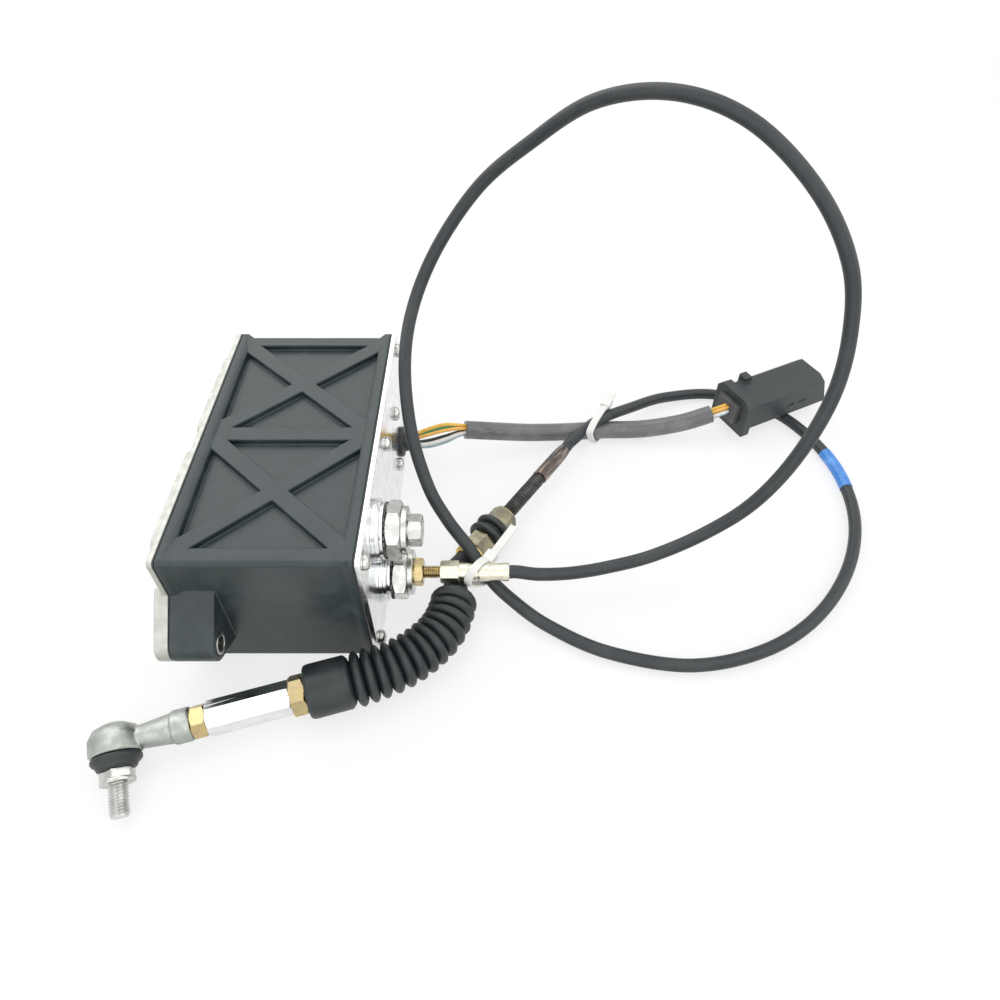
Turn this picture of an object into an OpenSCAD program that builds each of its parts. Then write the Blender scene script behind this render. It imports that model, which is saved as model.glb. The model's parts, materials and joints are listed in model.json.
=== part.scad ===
// Engine governor actuator with a push-pull control cable, in millimetres.
// The origin is the middle of the casting's base, X runs from the side cover to the face plate,
// Y runs away from the mounting lug that faces the viewer, and Z is up.

/* [Housing] */
// Distance between the casting's two flange faces
body_w = 80; // [76:1:96]
// Length of the casting
body_l = 158; // [152:1:190]
// Height of the casting
body_h = 72; // [70:1:84]
// Thickness of the side walls and the floor
wall = 4; // [3:0.5:5]
// Thickness of the ribbed top
top_wall = 6; // [5:0.5:7]
// How far the flange rims stand out of the walls
rim_out = 1.5; // [1:0.5:3]
// Thickness of the flange rims
rim_t = 3; // [2:0.5:5]
// Length of the flare from a wall to a rim
flare = 3; // [2:0.5:5]
// Radius of the casting's corners
corner_r = 2.5; // [2:0.5:7]
// Depth of the pockets in the top
pocket_depth = 3; // [1:0.5:4]
// Width of the crossed ribs between the pockets
rib_w = 8.5; // [6:0.5:11]
// Border between the pockets and the flange faces
pocket_side = 5.5; // [4.5:0.5:9]
// Border between the pockets and the ends of the casting
pocket_end = 10; // [8:0.5:16]
// Width of the bar between the two ribbed cells
pocket_bar = 9; // [6:0.5:14]

/* [Mounting lugs] */
// Height of the lug bolts above the base
lug_z = 31; // [27:0.5:36]
// Distance of a lug bolt from the end of the casting
lug_reach = 11; // [9:0.5:15]
// Radius of a lug's nose
lug_r = 7.5; // [6.5:0.25:9]
// Width of a lug on the casting
lug_w = 19; // [14:0.5:24]
// Height where a lug runs into the wall above its bolt
lug_rise = 21; // [16:0.5:26]
// Height where a lug runs into the wall below its bolt
lug_drop = 15; // [11:0.5:19]
// Outer diameter of a lug bushing
bushing_od = 9.9; // [9:0.1:11]
// Bore of a lug bushing
bushing_id = 6.6; // [5.6:0.1:7]

/* [Covers and screws] */
// Thickness of the two gaskets
gasket_t = 0.5; // [0.3:0.1:1]
// Thickness of the side cover
cover_t = 2.5; // [2:0.25:4]
// Height of the raised pads on the side cover
pad_t = 4.5; // [2:0.25:6]
// Length of a raised pad
pad_l = 60; // [40:1:66]
// Distance between the middles of the raised pads
pad_pitch = 72; // [68:1:76]
// Distance of the raised pads from the side cover's long edges
pad_edge = 5; // [4:0.5:12]
// Thickness of the side cover's lugs
cover_lug_t = 6; // [4:0.25:8]
// Thickness of the face plate
plate_t = 2.5; // [1.5:0.25:4]
// Distance of a corner screw from the edges
screw_inset = 7; // [6.5:0.25:8]
// Thread diameter of the screws
screw_d = 4; // [3:0.25:4.5]
// Length of a screw below its head
screw_l = 14; // [10:1:18]
// Diameter of a screw head
screw_head_d = 7.4; // [6:0.1:8]
// Height of a screw head
screw_head_h = 2.6; // [2:0.1:3.5]

/* [Cable ports] */
// Place of the ports along the casting
port_y = -45; // [-48:0.5:-43]
// Height of the lower port above the base
port_z = 22; // [21:0.5:24]
// Diameter of a port bush's flange
bush_d = 29; // [27:0.5:30]
// Thickness of a port bush's flange
bush_t = 3.5; // [2.5:0.25:5]
// Thread diameter of a port bush
bush_thread_d = 16; // [14:0.5:18]
// Diameter of a port washer
washer_d = 26; // [24:0.5:28]
// Thickness of a port washer
washer_t = 1.5; // [1:0.25:2.5]
// Thickness of a tooth washer
tooth_t = 1; // [0.6:0.1:1.5]
// Width of a port nut across its flats
port_nut_af = 24; // [22:0.5:25]
// Height of a port nut
port_nut_h = 6.5; // [5:0.25:9]
// Diameter of a sealing washer
seal_d = 22; // [19:0.5:24]
// Thickness of a sealing washer
seal_t = 2.5; // [1.5:0.25:3.5]
// Width of the plug bolt's head across its flats
plug_af = 13; // [12:0.5:15]
// Height of the plug bolt's head
plug_h = 6.3; // [5:0.1:8]
// Thread diameter of the plug bolt
plug_d = 8; // [6:0.5:9]
// Thread diameter of the cable's end tube
tube_d = 6.3; // [6:0.1:7]
// Bore of the cable's end tube
tube_bore = 3.2; // [3.1:0.1:3.6]
// Length of bare thread between the jam nut and the ferrule
tube_bare = 8; // [5:0.5:12]
// Width of the jam nut across its flats
jam_af = 12; // [10:0.5:14]
// Height of the jam nut
jam_h = 4.5; // [3:0.25:6]
// Width of the ferrule's hexagon across its flats
ferrule_af = 9.6; // [9:0.1:10.5]
// Length of the ferrule's hexagon
ferrule_hex_l = 9; // [6:0.5:12]
// Diameter of the ferrule's swaged tube
ferrule_d = 8.8; // [8:0.1:9.5]
// Length of the ferrule's swaged tube
ferrule_l = 24; // [20:0.5:28]

/* [Gear train] */
// Module of the rack teeth
rack_m = 1.5; // [1.4:0.05:1.55]
// Height of the rack's pitch line above the cable's axis
rack_rise = 2; // [1.5:0.25:2.5]
// Width of the rack
rack_w = 10; // [8:0.5:12]
// Module of the gears
gear_m = 0.75; // [0.65:0.05:0.8]
// Face width of the gears
gear_w = 7; // [5:0.5:8]
// Thickness of the bearing plates
frame_t = 3; // [2.5:0.25:4]
// Thickness of the web that carries the bearing plates
web_t = 2.5; // [2:0.25:3.5]
// Diameter of the output shaft
shaft_d = 6; // [5:0.25:7]
// Outer diameter of the output shaft's bushes
shaft_bush_d = 10; // [9:0.25:12]
// Diameter of the idler's pin
idler_pin_d = 4; // [3:0.25:5]
// Diameter of the motor
motor_d = 36; // [30:0.5:38]
// Length of the motor's can
motor_l = 52; // [40:1:56]
// Diameter of the motor's shaft
motor_shaft_d = 3; // [2:0.25:4]
// Thread diameter of the motor's screws
motor_screw_d = 3; // [2.5:0.25:4]
// Diameter of the position sensor
sensor_d = 20; // [16:0.5:24]
// Share of the room behind the first bearing plate that the position sensor fills
sensor_share = 0.64; // [0.4:0.02:0.8]

/* [Cable and its far end] */
// Diameter of the push-pull cable
cable_d = 6.4; // [5.8:0.1:6.6]
// Diameter of the cable's core wire
core_d = 3; // [2.4:0.1:3]
// Length of the shrink sleeve over the cable's end
end_sleeve_l = 27; // [20:1:33]
// Diameter of the shrink sleeve
end_sleeve_d = 8.4; // [8.2:0.1:9.5]
// Thread diameter of the bulkhead hub
hub_d = 8; // [7:0.25:9]
// Length of thread in front of the hub's first nut
hub_l = 34; // [29:1:37]
// Width of the hub's nuts across their flats
hub_nut_af = 13; // [12:0.5:14]
// Length of a hub nut
hub_nut_l = 10; // [7:0.5:11]
// Diameter of the hub's rubber grommet
hub_grommet_d = 19.6; // [16:0.2:20]
// Length of the hub's rubber grommet
hub_grommet_l = 10; // [8:0.5:11]
// Diameter of the brass collar at the hub's mouth
collar_d = 13; // [11:0.5:14]
// Length of the brass collar
collar_l = 6; // [4:0.5:7]

/* [Bellows and link] */
// Outer diameter of the bellows' folds
fold_d = 25; // [22:0.5:25]
// Number of folds
folds = 13; // [9:1:16]
// Depth of the folds
fold_depth = 3.2; // [2:0.2:4]
// Wall thickness of the bellows
bellows_wall = 1.6; // [1.2:0.1:2]
// Diameter of the bellows' neck under the ferrule
neck_d = 12; // [11:0.5:12.5]
// Diameter of the bellows' smooth cuff
cuff_d = 24; // [20:0.5:24.5]
// Length of the smooth cuff
cuff_l = 19; // [14:1:22]
// Width of the inner locknut across its flats
inner_nut_af = 16; // [14:0.5:17]
// Height of the inner locknut
inner_nut_h = 6.5; // [5:0.25:8]
// Width of the link rod across its flats
link_af = 13.5; // [12:0.5:15]
// Length of the link rod's hexagon
link_l = 35; // [28:0.5:44]
// Thread diameter of the link
link_thread_d = 8; // [6:0.5:8.5]
// Width of the outer locknut across its flats
outer_nut_af = 13; // [12:0.5:15]
// Height of the outer locknut
outer_nut_h = 6; // [4:0.25:8]
// Diameter of the rod end's shank
shank_d = 14.5; // [13:0.5:16]
// Distance from the outer locknut to the middle of the ball
shank_l = 31; // [28:0.5:36]
// Diameter of the rod end's head
head_d = 21; // [19:0.5:22]
// Diameter of the ball
ball_d = 13; // [12:0.25:13.5]
// Thread diameter of the ball stud
stud_d = 8; // [6:0.5:8]
// Length of the stud's thread
stud_l = 13; // [9:0.5:15]
// Width of the stud's hexagon across its flats
stud_af = 12; // [11:0.5:13]
// Diameter of the rubber boot
boot_d = 20; // [17:0.5:21]

/* [Harness] */
// Place of the wire outlet along the casting
outlet_y = 48; // [46:0.5:52]
// Height of the wire outlet above the base
outlet_z = 20; // [18:0.5:23]
// Diameter of the outlet's hole in the face plate
outlet_d = 13; // [12:0.5:15]
// Diameter of a harness wire
wire_d = 2; // [1.6:0.1:2.1]
// Diameter of the harness sleeve
sleeve_d = 10.5; // [9:0.5:10.5]
// Width of the connector
plug_w = 24; // [22:0.5:26]
// Height of the connector
plug_hgt = 21; // [19:0.5:21.5]
// Length of the connector
plug_len = 67; // [60:1:72]
// Wall thickness of the connector's shroud
shroud_wall = 1.9; // [1.5:0.1:2.4]
// Depth of the connector's socket
socket_depth = 29; // [24:1:32]
// Width of a cable tie's band
tie_w = 4; // [3:0.25:5]
// Thickness of a cable tie's band
tie_t = 1.2; // [0.8:0.1:1.4]

/* [Hidden] */
$fn = 48;

// Clearances: a running fit, a sliding or screwed fit, and an open hole
run_fit = 0.05;
loose_fit = 0.1;
eps = 0.01;

// Faces of the casting and its covers
left_x = -body_w / 2;
right_x = body_w / 2;
near_y = -body_l / 2;
cover_x = left_x - gasket_t;
plate_x = right_x + gasket_t;
face_x = plate_x + plate_t;
wall_top = body_h - rim_out;
ceiling = wall_top - top_wall;
wall_y = body_l / 2 - rim_out;
inner_y = wall_y - wall;
screw_y = body_l / 2 - screw_inset;
screw_zs = [screw_inset, body_h - screw_inset];
boss_r = screw_d / 2 + 2.6;
gasket_edge = screw_inset + boss_r;

// Gears: tooth numbers, backlash and the places of the shafts
pressure_angle = 20;
pinion_teeth = 17;
wheel_teeth = 34;
rack_pinion_teeth = 18;
backlash = 0.16;
tip_share = 0.9;
root_share = 1.25;
pitch_z = port_z + rack_rise;
rack_pinion_r = rack_m * rack_pinion_teeth / 2;
shaft_z = pitch_z + rack_pinion_r;
port_zs = [port_z, 2 * shaft_z - port_z];
idler_x = -gear_m * (pinion_teeth + wheel_teeth) / 2;
wheel_r = gear_m * (wheel_teeth / 2 + tip_share);

// Places along the shafts, counted from the rack
rack_gap = 6.5;
stage_gap = 3;
plate_1 = port_y - rack_w / 2 - rack_gap - frame_t;
plate_2 = port_y + rack_w / 2 + rack_gap;
stage_1 = plate_2 + frame_t + stage_gap;
stage_2 = stage_1 + gear_w + stage_gap;
plate_3 = stage_2 + gear_w + stage_gap;
motor_y = plate_3 + frame_t;
frame_gap = 0.4;
frame_z = [gasket_edge + frame_gap, body_h - gasket_edge - frame_gap];
sensor_t = sensor_share * (inner_y + plate_1);
frame_left = idler_x - 9;
web_x = plate_x - web_t;
motor_shaft_in = 12;
motor_screw_in = 5;
motor_head_t = 2;
motor_cap_t = 4;
tab = [3, 5, 6];
web_end = outlet_y + 4;
rack_floor = port_z - 5;
rack_left = -24;
rack_block = 3;
frame_screw_at = [[outlet_y - 7, frame_z[1] - 13], [7, frame_z[1] - 3],
    [outlet_y - 14, frame_z[0] + 4]];

// The port stack, outwards from the face plate
washer_x = face_x + bush_t;
tooth_x = washer_x + washer_t;
port_nut_x = tooth_x + tooth_t;
seal_x = port_nut_x + port_nut_h;
port_end_x = seal_x + seal_t;
bush_in_x = web_x - 2;
tube_in_x = bush_in_x;
turn_limit = 55;
rack_travel = rack_pinion_r * turn_limit * PI / 180;
rack_right = tube_in_x - rack_travel - 0.6;
ferrule_x = port_end_x + jam_h + tube_bare;
swage_x = ferrule_x + ferrule_hex_l;
cable_x = swage_x + ferrule_l;

// The bulkhead hub lies on a line from this point, at this heading
hub_start = [121, 29.5];
hub_heading = -124;
hub_z = 10;
function hub_x(d) = hub_start[0] + d * cos(hub_heading);
function hub_y(d) = hub_start[1] + d * sin(hub_heading);
hub_grommet_at = hub_l + hub_nut_l;
hub_nut_2_at = hub_grommet_at + hub_grommet_l;
collar_at = hub_nut_2_at + hub_nut_l;
neck_at = collar_at + collar_l;

// Route of the push-pull cable from the ferrule, round the standing loop, down under the
// ferrule, round the loop on the table and up to the bulkhead hub
lead = 4;
cable_route = [[cable_x, port_y, port_z], [cable_x + lead, port_y, port_z], [118, -45.4, 20.6],
    [134, -42.8, 18.2], [151.8, -39, 17.9], [173.2, -35.1, 21.8], [196.7, -31.1, 33.7],
    [216.2, -28.4, 52.5], [230.9, -22.8, 77.1], [242.3, -11.1, 102.8], [245.7, 2.4, 126.3],
    [239.9, 12.3, 151.4], [223, 25.4, 175.5], [196.6, 42.4, 194.6], [167.8, 57.8, 199.9],
    [138.5, 73, 191.1], [112.7, 85.3, 169.4], [89.1, 89.5, 147.5], [68.1, 83.1, 120],
    [55.2, 66.6, 96.6], [51.5, 41.1, 80.1], [54.8, 14.7, 59.7], [63.2, -5.5, 40.5], [72.9, -18.5, 29.6],
    [84, -30, 21], [93, -41, 13.5], [104, -51, 8.5], [122, -64, 4.5], [150, -78, 3.4],
    [188.2, -84.8, 3.4], [225.8, -75.8, 3.4], [256.6, -54.8, 3.4], [280.6, -23.1, 3.4],
    [292.9, 13.3, 3.4], [290.9, 53, 3.4], [272, 90, 3.4], [238, 109, 3.4], [204, 105, 5],
    [178, 88, 10.6], [156, 70, 16], for (d = [2, 1, 0])
        [hub_x(-end_sleeve_l - d * lead), hub_y(-end_sleeve_l - d * lead), hub_z]];
tape_route = [for (k = [0:2]) route_at(cable_route, 33.36 + 0.36 * k)];

// The link rod lies on a line from the bellows' cuff, at this heading
link_start = [16, -103];
link_heading = -163;
link_z = 12.5;
cuff_end = 1.5;
link_x = cuff_end + inner_nut_h;
outer_nut_x = link_x + link_l;
shank_x = outer_nut_x + outer_nut_h;
ball_x = shank_x + shank_l;
link_grip = 10;
stud_drop = 15;
boot_from = 5.2;
boot_to = 11.2;
stud_flange_t = 1.6;
stud_hex_h = 3.6;
thread_from = boot_to + stud_flange_t + stud_hex_h;

// Route of the bellows from the brass collar to the link rod
cuff_dir = [cos(link_heading), sin(link_heading), 0];
bellows_route = concat([for (d = [0.1, 1, 2]) [hub_x(neck_at + d * lead), hub_y(neck_at + d * lead), hub_z]],
    [[77.2, -42, 10], [77.2, -49, 10.2], [76.8, -56, 12.5], [74.9, -64.8, 12.6], [71.2, -73, 12.6],
    [65.5, -80, 12.6], [58.7, -86, 12.6], [51, -90.8, 12.6], [42.7, -94.4, 12.6]],
    [for (d = [-cuff_l, -cuff_l / 2, 0, cuff_end])
        [link_start[0], link_start[1], link_z] + d * cuff_dir]);

// The harness runs from the outlet to the back of the connector
outlet_nose = 5;
plug_start = [236, 80, 18];
plug_heading = 26.5;
plug_axis = [cos(plug_heading), sin(plug_heading), 0];
plug_seal_l = 3;
sleeve_route = [[79, 58, 20], [96, 61, 16.2], [116, 66, 10.6], [138, 70.5, 7], [160, 72.5, 6.7],
    [184, 73, 7], [207, 75, 10], [225, 78, 14.6]];
wire_count = 6;
wire_ring = 2.5;

// Points and directions along a smooth curve through a list of points
function through(a, b, c, d, t) = 0.5 * (2 * b + (c - a) * t + (2 * a - 5 * b + 4 * c - d) * t * t
    + (3 * b - a - 3 * c + d) * t * t * t);
function route_point(p, i) = p[max(0, min(len(p) - 1, i))];
function smooth(p, n) = [for (i = [0:len(p) - 2]) for (k = [0:n - 1])
    through(route_point(p, i - 1), p[i], p[i + 1], route_point(p, i + 2), k / n), p[len(p) - 1]];
function unit(v) = v / norm(v);
function heading(p, i) = unit(p[min(len(p) - 1, i + 1)] - p[max(0, i - 1)]);
function square_to(n, t) = unit(n - (n * t) * t);

// A side direction for each ring, carried along the curve without twisting
function sides_of(p, i, n, found) = i >= len(p) ? found :
    let (s = square_to(n, heading(p, i))) sides_of(p, i + 1, s, concat(found, [s]));

// Rings of points round a curve, with one radius for each ring
function rings(p, radii, sides) = let (s = sides_of(p, 0, [0.02, -0.3, 1], []))
    [for (i = [0:len(p) - 1]) let (t = heading(p, i), b = cross(t, s[i])) for (k = [0:sides - 1])
        p[i] + radii[i] * (cos(360 * k / sides) * s[i] + sin(360 * k / sides) * b)];
function skin(count, sides, from) = [for (i = [0:count - 2]) for (k = [0:sides - 1])
    let (a = from + i * sides, b = a + sides, j = (k + 1) % sides) [a + k, b + k, b + j, a + j]];
function turned(faces) = [for (f = faces) [for (i = [len(f) - 1:-1:0]) f[i]]];

// A solid round bar along a curve
module bar_along(p, d, sides) {
    last = (len(p) - 1) * sides;
    polyhedron(rings(p, [for (i = p) d / 2], sides), concat(skin(len(p), sides, 0),
        [[for (k = [0:sides - 1]) k]], [[for (k = [sides - 1:-1:0]) last + k]]));
}

// A hollow sleeve along a curve, with its own radius outside and inside at each ring
module sleeve_along(p, outer, inner, sides) {
    count = len(p) * sides;
    last = count - sides;
    polyhedron(concat(rings(p, outer, sides), rings(p, inner, sides)), concat(skin(len(p), sides, 0),
        turned(skin(len(p), sides, count)),
        [for (k = [0:sides - 1]) let (j = (k + 1) % sides) [k, j, count + j, count + k]],
        [for (k = [0:sides - 1]) let (j = (k + 1) % sides)
            [last + j, last + k, count + last + k, count + last + j]]));
}

// Shapes drawn across the X axis and the Y axis, and turned shapes along X
module across_x(x0, x1) {
    translate([x0, 0, 0]) rotate([90, 0, 90]) linear_extrude(x1 - x0) children();
}
module across_y(y0, y1) {
    translate([0, y1, 0]) rotate([90, 0, 0]) linear_extrude(y1 - y0) children();
}
module rod_x(x0, x1, d) {
    translate([x0, 0, 0]) rotate([0, 90, 0]) cylinder(h = x1 - x0, d = d);
}
module rod_y(y0, y1, d) {
    translate([0, y0, 0]) rotate([-90, 0, 0]) cylinder(h = y1 - y0, d = d);
}
module turned_x(profile) {
    rotate([0, 90, 0]) rotate_extrude() polygon(profile);
}
module rounded(l, h, r) {
    square([l - 2 * r, h], center = true);
    square([l, h - 2 * r], center = true);
    for (y = [-1, 1], z = [-1, 1]) translate([y * (l / 2 - r), z * (h / 2 - r)]) circle(r);
}

// A hexagon along X with chamfered corners
module hex_x(x0, x1, af) {
    corner = af / cos(30) / 2;
    cut = corner - af / 2;
    intersection() {
        translate([x0, 0, 0]) rotate([0, 90, 0]) cylinder(h = x1 - x0, r = corner, $fn = 6);
        turned_x([[0, x0], [corner - cut, x0], [corner + eps, x0 + 0.6 * cut],
            [corner + eps, x1 - 0.6 * cut], [corner - cut, x1], [0, x1]]);
    }
}
module nut_x(x0, x1, af, bore) {
    difference() {
        hex_x(x0, x1, af);
        rod_x(x0 - 1, x1 + 1, bore);
    }
}

// A pan-head screw along X with a cross in its head, driven towards negative X
module pan_screw() {
    head_r = screw_head_d / 2;
    difference() {
        union() {
            turned_x([[0, 0], [head_r, 0], [head_r, 0.45 * screw_head_h],
                [0.8 * head_r, 0.85 * screw_head_h], [0.45 * head_r, screw_head_h], [0, screw_head_h]]);
            rod_x(-screw_l, eps, screw_d);
        }
        for (turn = [0, 90]) rotate([turn + 20, 0, 0]) translate([screw_head_h, 0, 0])
            cube([2.4, 4, 0.9], center = true);
    }
}

// Involute gear outline, with its first tooth along the first axis
function involute(a) = tan(a) * 180 / PI - a;
function half_tooth(r, rp, thick) = thick / 2 / rp * 180 / PI + involute(pressure_angle)
    - involute(acos(min(1, rp * cos(pressure_angle) / r)));
module gear_outline(m, teeth) {
    rp = m * teeth / 2;
    thick = PI * m / 2 - backlash * m;
    root = rp - root_share * m;
    base = max(root, rp * cos(pressure_angle));
    tip = rp + tip_share * m;
    steps = 5;
    radii = [for (k = [0:steps]) base + (tip - base) * k / steps];
    base_half = half_tooth(base, rp, thick);
    flank = concat([[root, base_half]], [for (r = radii) [r, half_tooth(r, rp, thick)]]);
    polygon([for (t = [0:teeth - 1]) let (mid = 360 * t / teeth) each concat(
        [for (f = flank) f[0] * [cos(mid - f[1]), sin(mid - f[1])]],
        [for (k = [len(flank) - 1:-1:0]) let (f = flank[k]) f[0] * [cos(mid + f[1]), sin(mid + f[1])]])]);
}
module gear_y(y0, y1, m, teeth, turn) {
    across_y(y0, y1) rotate(turn) gear_outline(m, teeth);
}

// Places: a port, the hub's line, the link's line, the ball stud's line and the connector
module at_port(z) {
    translate([0, port_y, z]) children();
}
module on_hub() {
    translate([hub_start[0], hub_start[1], hub_z]) rotate([0, 0, hub_heading]) children();
}
module on_link() {
    translate([link_start[0], link_start[1], link_z]) rotate([0, 0, link_heading]) children();
}
module on_stud() {
    on_link() translate([ball_x, 0, 0]) rotate([0, 0, 90]) rotate([0, stud_drop, 0]) children();
}
module on_plug() {
    translate(plug_start) rotate([0, 0, plug_heading]) children();
}

// Casting and covers

// Where a straight line from a point touches a circle, above or below it
function touch(p, c, r, side) = let (v = p - c, a = atan2(v[1], v[0]) + side * acos(r / norm(v)))
    c + r * [cos(a), sin(a)];
module lug_outline() {
    c = [near_y - lug_reach, lug_z];
    high = [near_y + rim_out, lug_z + lug_rise];
    low = [near_y + rim_out, lug_z - lug_drop];
    inside = near_y + rim_out + wall / 2;
    circle_r = lug_r;
    translate(c) circle(circle_r);
    polygon([c, touch(high, c, circle_r, 1), high, [inside, high[1]], [inside, low[1]], low,
        touch(low, c, circle_r, -1)]);
}
module both_ends() {
    children();
    mirror([0, 1, 0]) children();
}
module lug_hole(x0, x1, d) {
    both_ends() translate([0, near_y - lug_reach, lug_z]) rod_x(x0, x1, d);
}
module wall_outline() {
    translate([0, wall_top / 2]) rounded(2 * wall_y, wall_top, corner_r);
}
module rim_outline() {
    translate([0, body_h / 2]) rounded(body_l, body_h, corner_r);
}
module flared_rim() {
    across_x(left_x, left_x + rim_t) rim_outline();
    hull() {
        across_x(left_x + rim_t - eps, left_x + rim_t) rim_outline($fn = 32);
        across_x(left_x + rim_t + flare - eps, left_x + rim_t + flare) wall_outline($fn = 32);
    }
}

// The pockets of one ribbed cell: a rectangle less two crossed ribs
pocket_cell = [body_w - 2 * pocket_side, (body_l - 2 * pocket_end - pocket_bar) / 2];
module pocket_outline() {
    lean = atan2(pocket_cell[1], pocket_cell[0]);
    difference() {
        square(pocket_cell, center = true);
        for (turn = [-lean, lean]) rotate(turn) square([2 * norm(pocket_cell), rib_w], center = true);
    }
}
module screw_bosses() {
    for (z = screw_zs) both_ends() translate([0, screw_y, z]) rod_x(left_x, right_x, 2 * boss_r);
    for (z = screw_zs) translate([0, 0, z]) rod_x(left_x, left_x + screw_l + 2, 2 * boss_r);
}
module housing() {
    color([0.13, 0.15, 0.15]) difference() {
        union() {
            difference() {
                union() {
                    across_x(left_x, right_x) wall_outline();
                    flared_rim();
                    mirror([1, 0, 0]) flared_rim();
                    both_ends() across_x(left_x, left_x + lug_w) lug_outline();
                }
                across_x(left_x - 1, right_x + 1)
                    translate([0, (ceiling + wall) / 2]) square([2 * inner_y, ceiling - wall], center = true);
            }
            intersection() {
                screw_bosses();
                across_x(left_x, right_x) wall_outline();
            }
        }
        for (side = [-1, 1]) translate([0, side * (pocket_cell[1] + pocket_bar) / 2, wall_top - pocket_depth])
            linear_extrude(pocket_depth + rim_out + 1) pocket_outline();
        lug_hole(left_x - 1, left_x + lug_w + 1, bushing_od + 2 * run_fit);
        for (z = screw_zs, side = [-1, 1]) both_ends() translate([side * (right_x - screw_l / 2), screw_y, z])
            rod_x(-screw_l / 2 - 1, screw_l / 2 + 1, screw_d + 2 * loose_fit);
        for (z = screw_zs) translate([left_x, 0, z]) rod_x(-1, screw_l + 1, screw_d + 2 * loose_fit);
    }
}

// The open middle of the gaskets keeps clear of the screws
module gasket_outline() {
    difference() {
        rim_outline();
        translate([0, body_h / 2])
            square([body_l - 2 * gasket_edge, body_h - 2 * gasket_edge], center = true);
    }
}
module screw_holes(x0, x1) {
    for (z = screw_zs) both_ends() translate([0, screw_y, z]) rod_x(x0, x1, screw_d + 2 * loose_fit);
}
module mid_screw_holes(x0, x1) {
    for (z = screw_zs) translate([0, 0, z]) rod_x(x0, x1, screw_d + 2 * loose_fit);
}
module cover_gasket() {
    color([0.1, 0.1, 0.1]) difference() {
        across_x(cover_x, left_x) gasket_outline();
        screw_holes(cover_x - 1, left_x + 1);
        mid_screw_holes(cover_x - 1, left_x + 1);
    }
}
module side_cover() {
    color([0.76, 0.77, 0.74]) difference() {
        union() {
            across_x(cover_x - cover_t, cover_x) rim_outline();
            for (side = [-1, 1]) across_x(cover_x - cover_t - pad_t, cover_x)
                translate([side * pad_pitch / 2, body_h / 2]) rounded(pad_l, body_h - 2 * pad_edge, pad_edge);
            both_ends() across_x(cover_x - cover_lug_t, cover_x) lug_outline();
        }
        lug_hole(cover_x - cover_lug_t - 1, cover_x + 1, bushing_od + 2 * run_fit);
        screw_holes(cover_x - cover_t - 1, cover_x + 1);
        mid_screw_holes(cover_x - cover_t - 1, cover_x + 1);
    }
}
module cover_screws() {
    color([0.72, 0.71, 0.68]) for (z = screw_zs, y = [-screw_y, 0, screw_y])
        translate([cover_x - cover_t, y, z]) mirror([1, 0, 0]) pan_screw();
}
module plate_gasket() {
    color([0.1, 0.1, 0.1]) difference() {
        across_x(right_x, plate_x) gasket_outline();
        screw_holes(right_x - 1, plate_x + 1);
        for (z = port_zs) at_port(z) rod_x(right_x - 1, plate_x + 1, bush_thread_d + 2 * loose_fit);
    }
}
module face_plate() {
    color([0.85, 0.86, 0.87]) difference() {
        across_x(plate_x, face_x) rim_outline();
        for (z = port_zs) at_port(z) rod_x(plate_x - 1, face_x + 1, bush_thread_d + 2 * loose_fit);
        translate([0, outlet_y, outlet_z]) rod_x(plate_x - 1, face_x + 1, outlet_d);
        screw_holes(plate_x - 1, face_x + 1);
        for (at = frame_screw_at) translate([0, at[0], at[1]])
            rod_x(plate_x - 1, face_x + 1, screw_d + 2 * loose_fit);
    }
}
module plate_screws() {
    color([0.78, 0.77, 0.74]) for (z = screw_zs, y = [-screw_y, screw_y])
        translate([face_x, y, z]) pan_screw();
}
module frame_screws() {
    color([0.78, 0.77, 0.74]) for (at = frame_screw_at) translate([face_x, at[0], at[1]]) pan_screw();
}
module lug_bushings() {
    color([0.8, 0.8, 0.78]) difference() {
        lug_hole(cover_x - cover_lug_t, left_x + lug_w + 0.5, bushing_od);
        lug_hole(cover_x - cover_lug_t - 1, left_x + lug_w + 1, bushing_id);
    }
}

// Ports on the face plate

// A turned bush with a thin groove round its flange and a bore of its own
module port_bush(bore) {
    r = bush_d / 2;
    groove = 0.6;
    thread_r = bush_thread_d / 2;
    middle = face_x + bush_t / 2;
    out_x = seal_x - 0.2;
    turned_x([[bore / 2, bush_in_x], [thread_r, bush_in_x], [thread_r, face_x], [r, face_x],
        [r, middle - groove / 2],
        [r - groove, middle], [r, middle + groove / 2], [r - 0.5, washer_x], [thread_r, washer_x],
        [thread_r, out_x], [bore / 2, out_x]]);
}
module port_bushes() {
    bores = [tube_d, plug_d];
    color([0.8, 0.81, 0.82]) for (i = [0, 1]) at_port(port_zs[i]) port_bush(bores[i] + 2 * run_fit);
}
module ring_x(x0, x1, outer, inner) {
    difference() {
        rod_x(x0, x1, outer);
        rod_x(x0 - 1, x1 + 1, inner);
    }
}
module port_washers() {
    color([0.84, 0.84, 0.84]) for (z = port_zs) at_port(z)
        ring_x(washer_x, tooth_x, washer_d, bush_thread_d + 2 * loose_fit);
}
module tooth_washers() {
    teeth = 24;
    outer = washer_d / 2;
    color([0.2, 0.2, 0.2]) for (z = port_zs) at_port(z) difference() {
        across_x(tooth_x, port_nut_x) polygon([for (k = [0:2 * teeth - 1])
            (outer - (k % 2) * 1.4) * [cos(180 * k / teeth), sin(180 * k / teeth)]]);
        rod_x(tooth_x - 1, port_nut_x + 1, bush_thread_d + 2 * loose_fit);
    }
}
module port_nuts() {
    turns = [24, 8];
    color([0.72, 0.72, 0.7]) for (i = [0, 1]) at_port(port_zs[i]) rotate([turns[i], 0, 0])
        nut_x(port_nut_x, seal_x, port_nut_af, bush_thread_d + 2 * run_fit);
}
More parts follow.
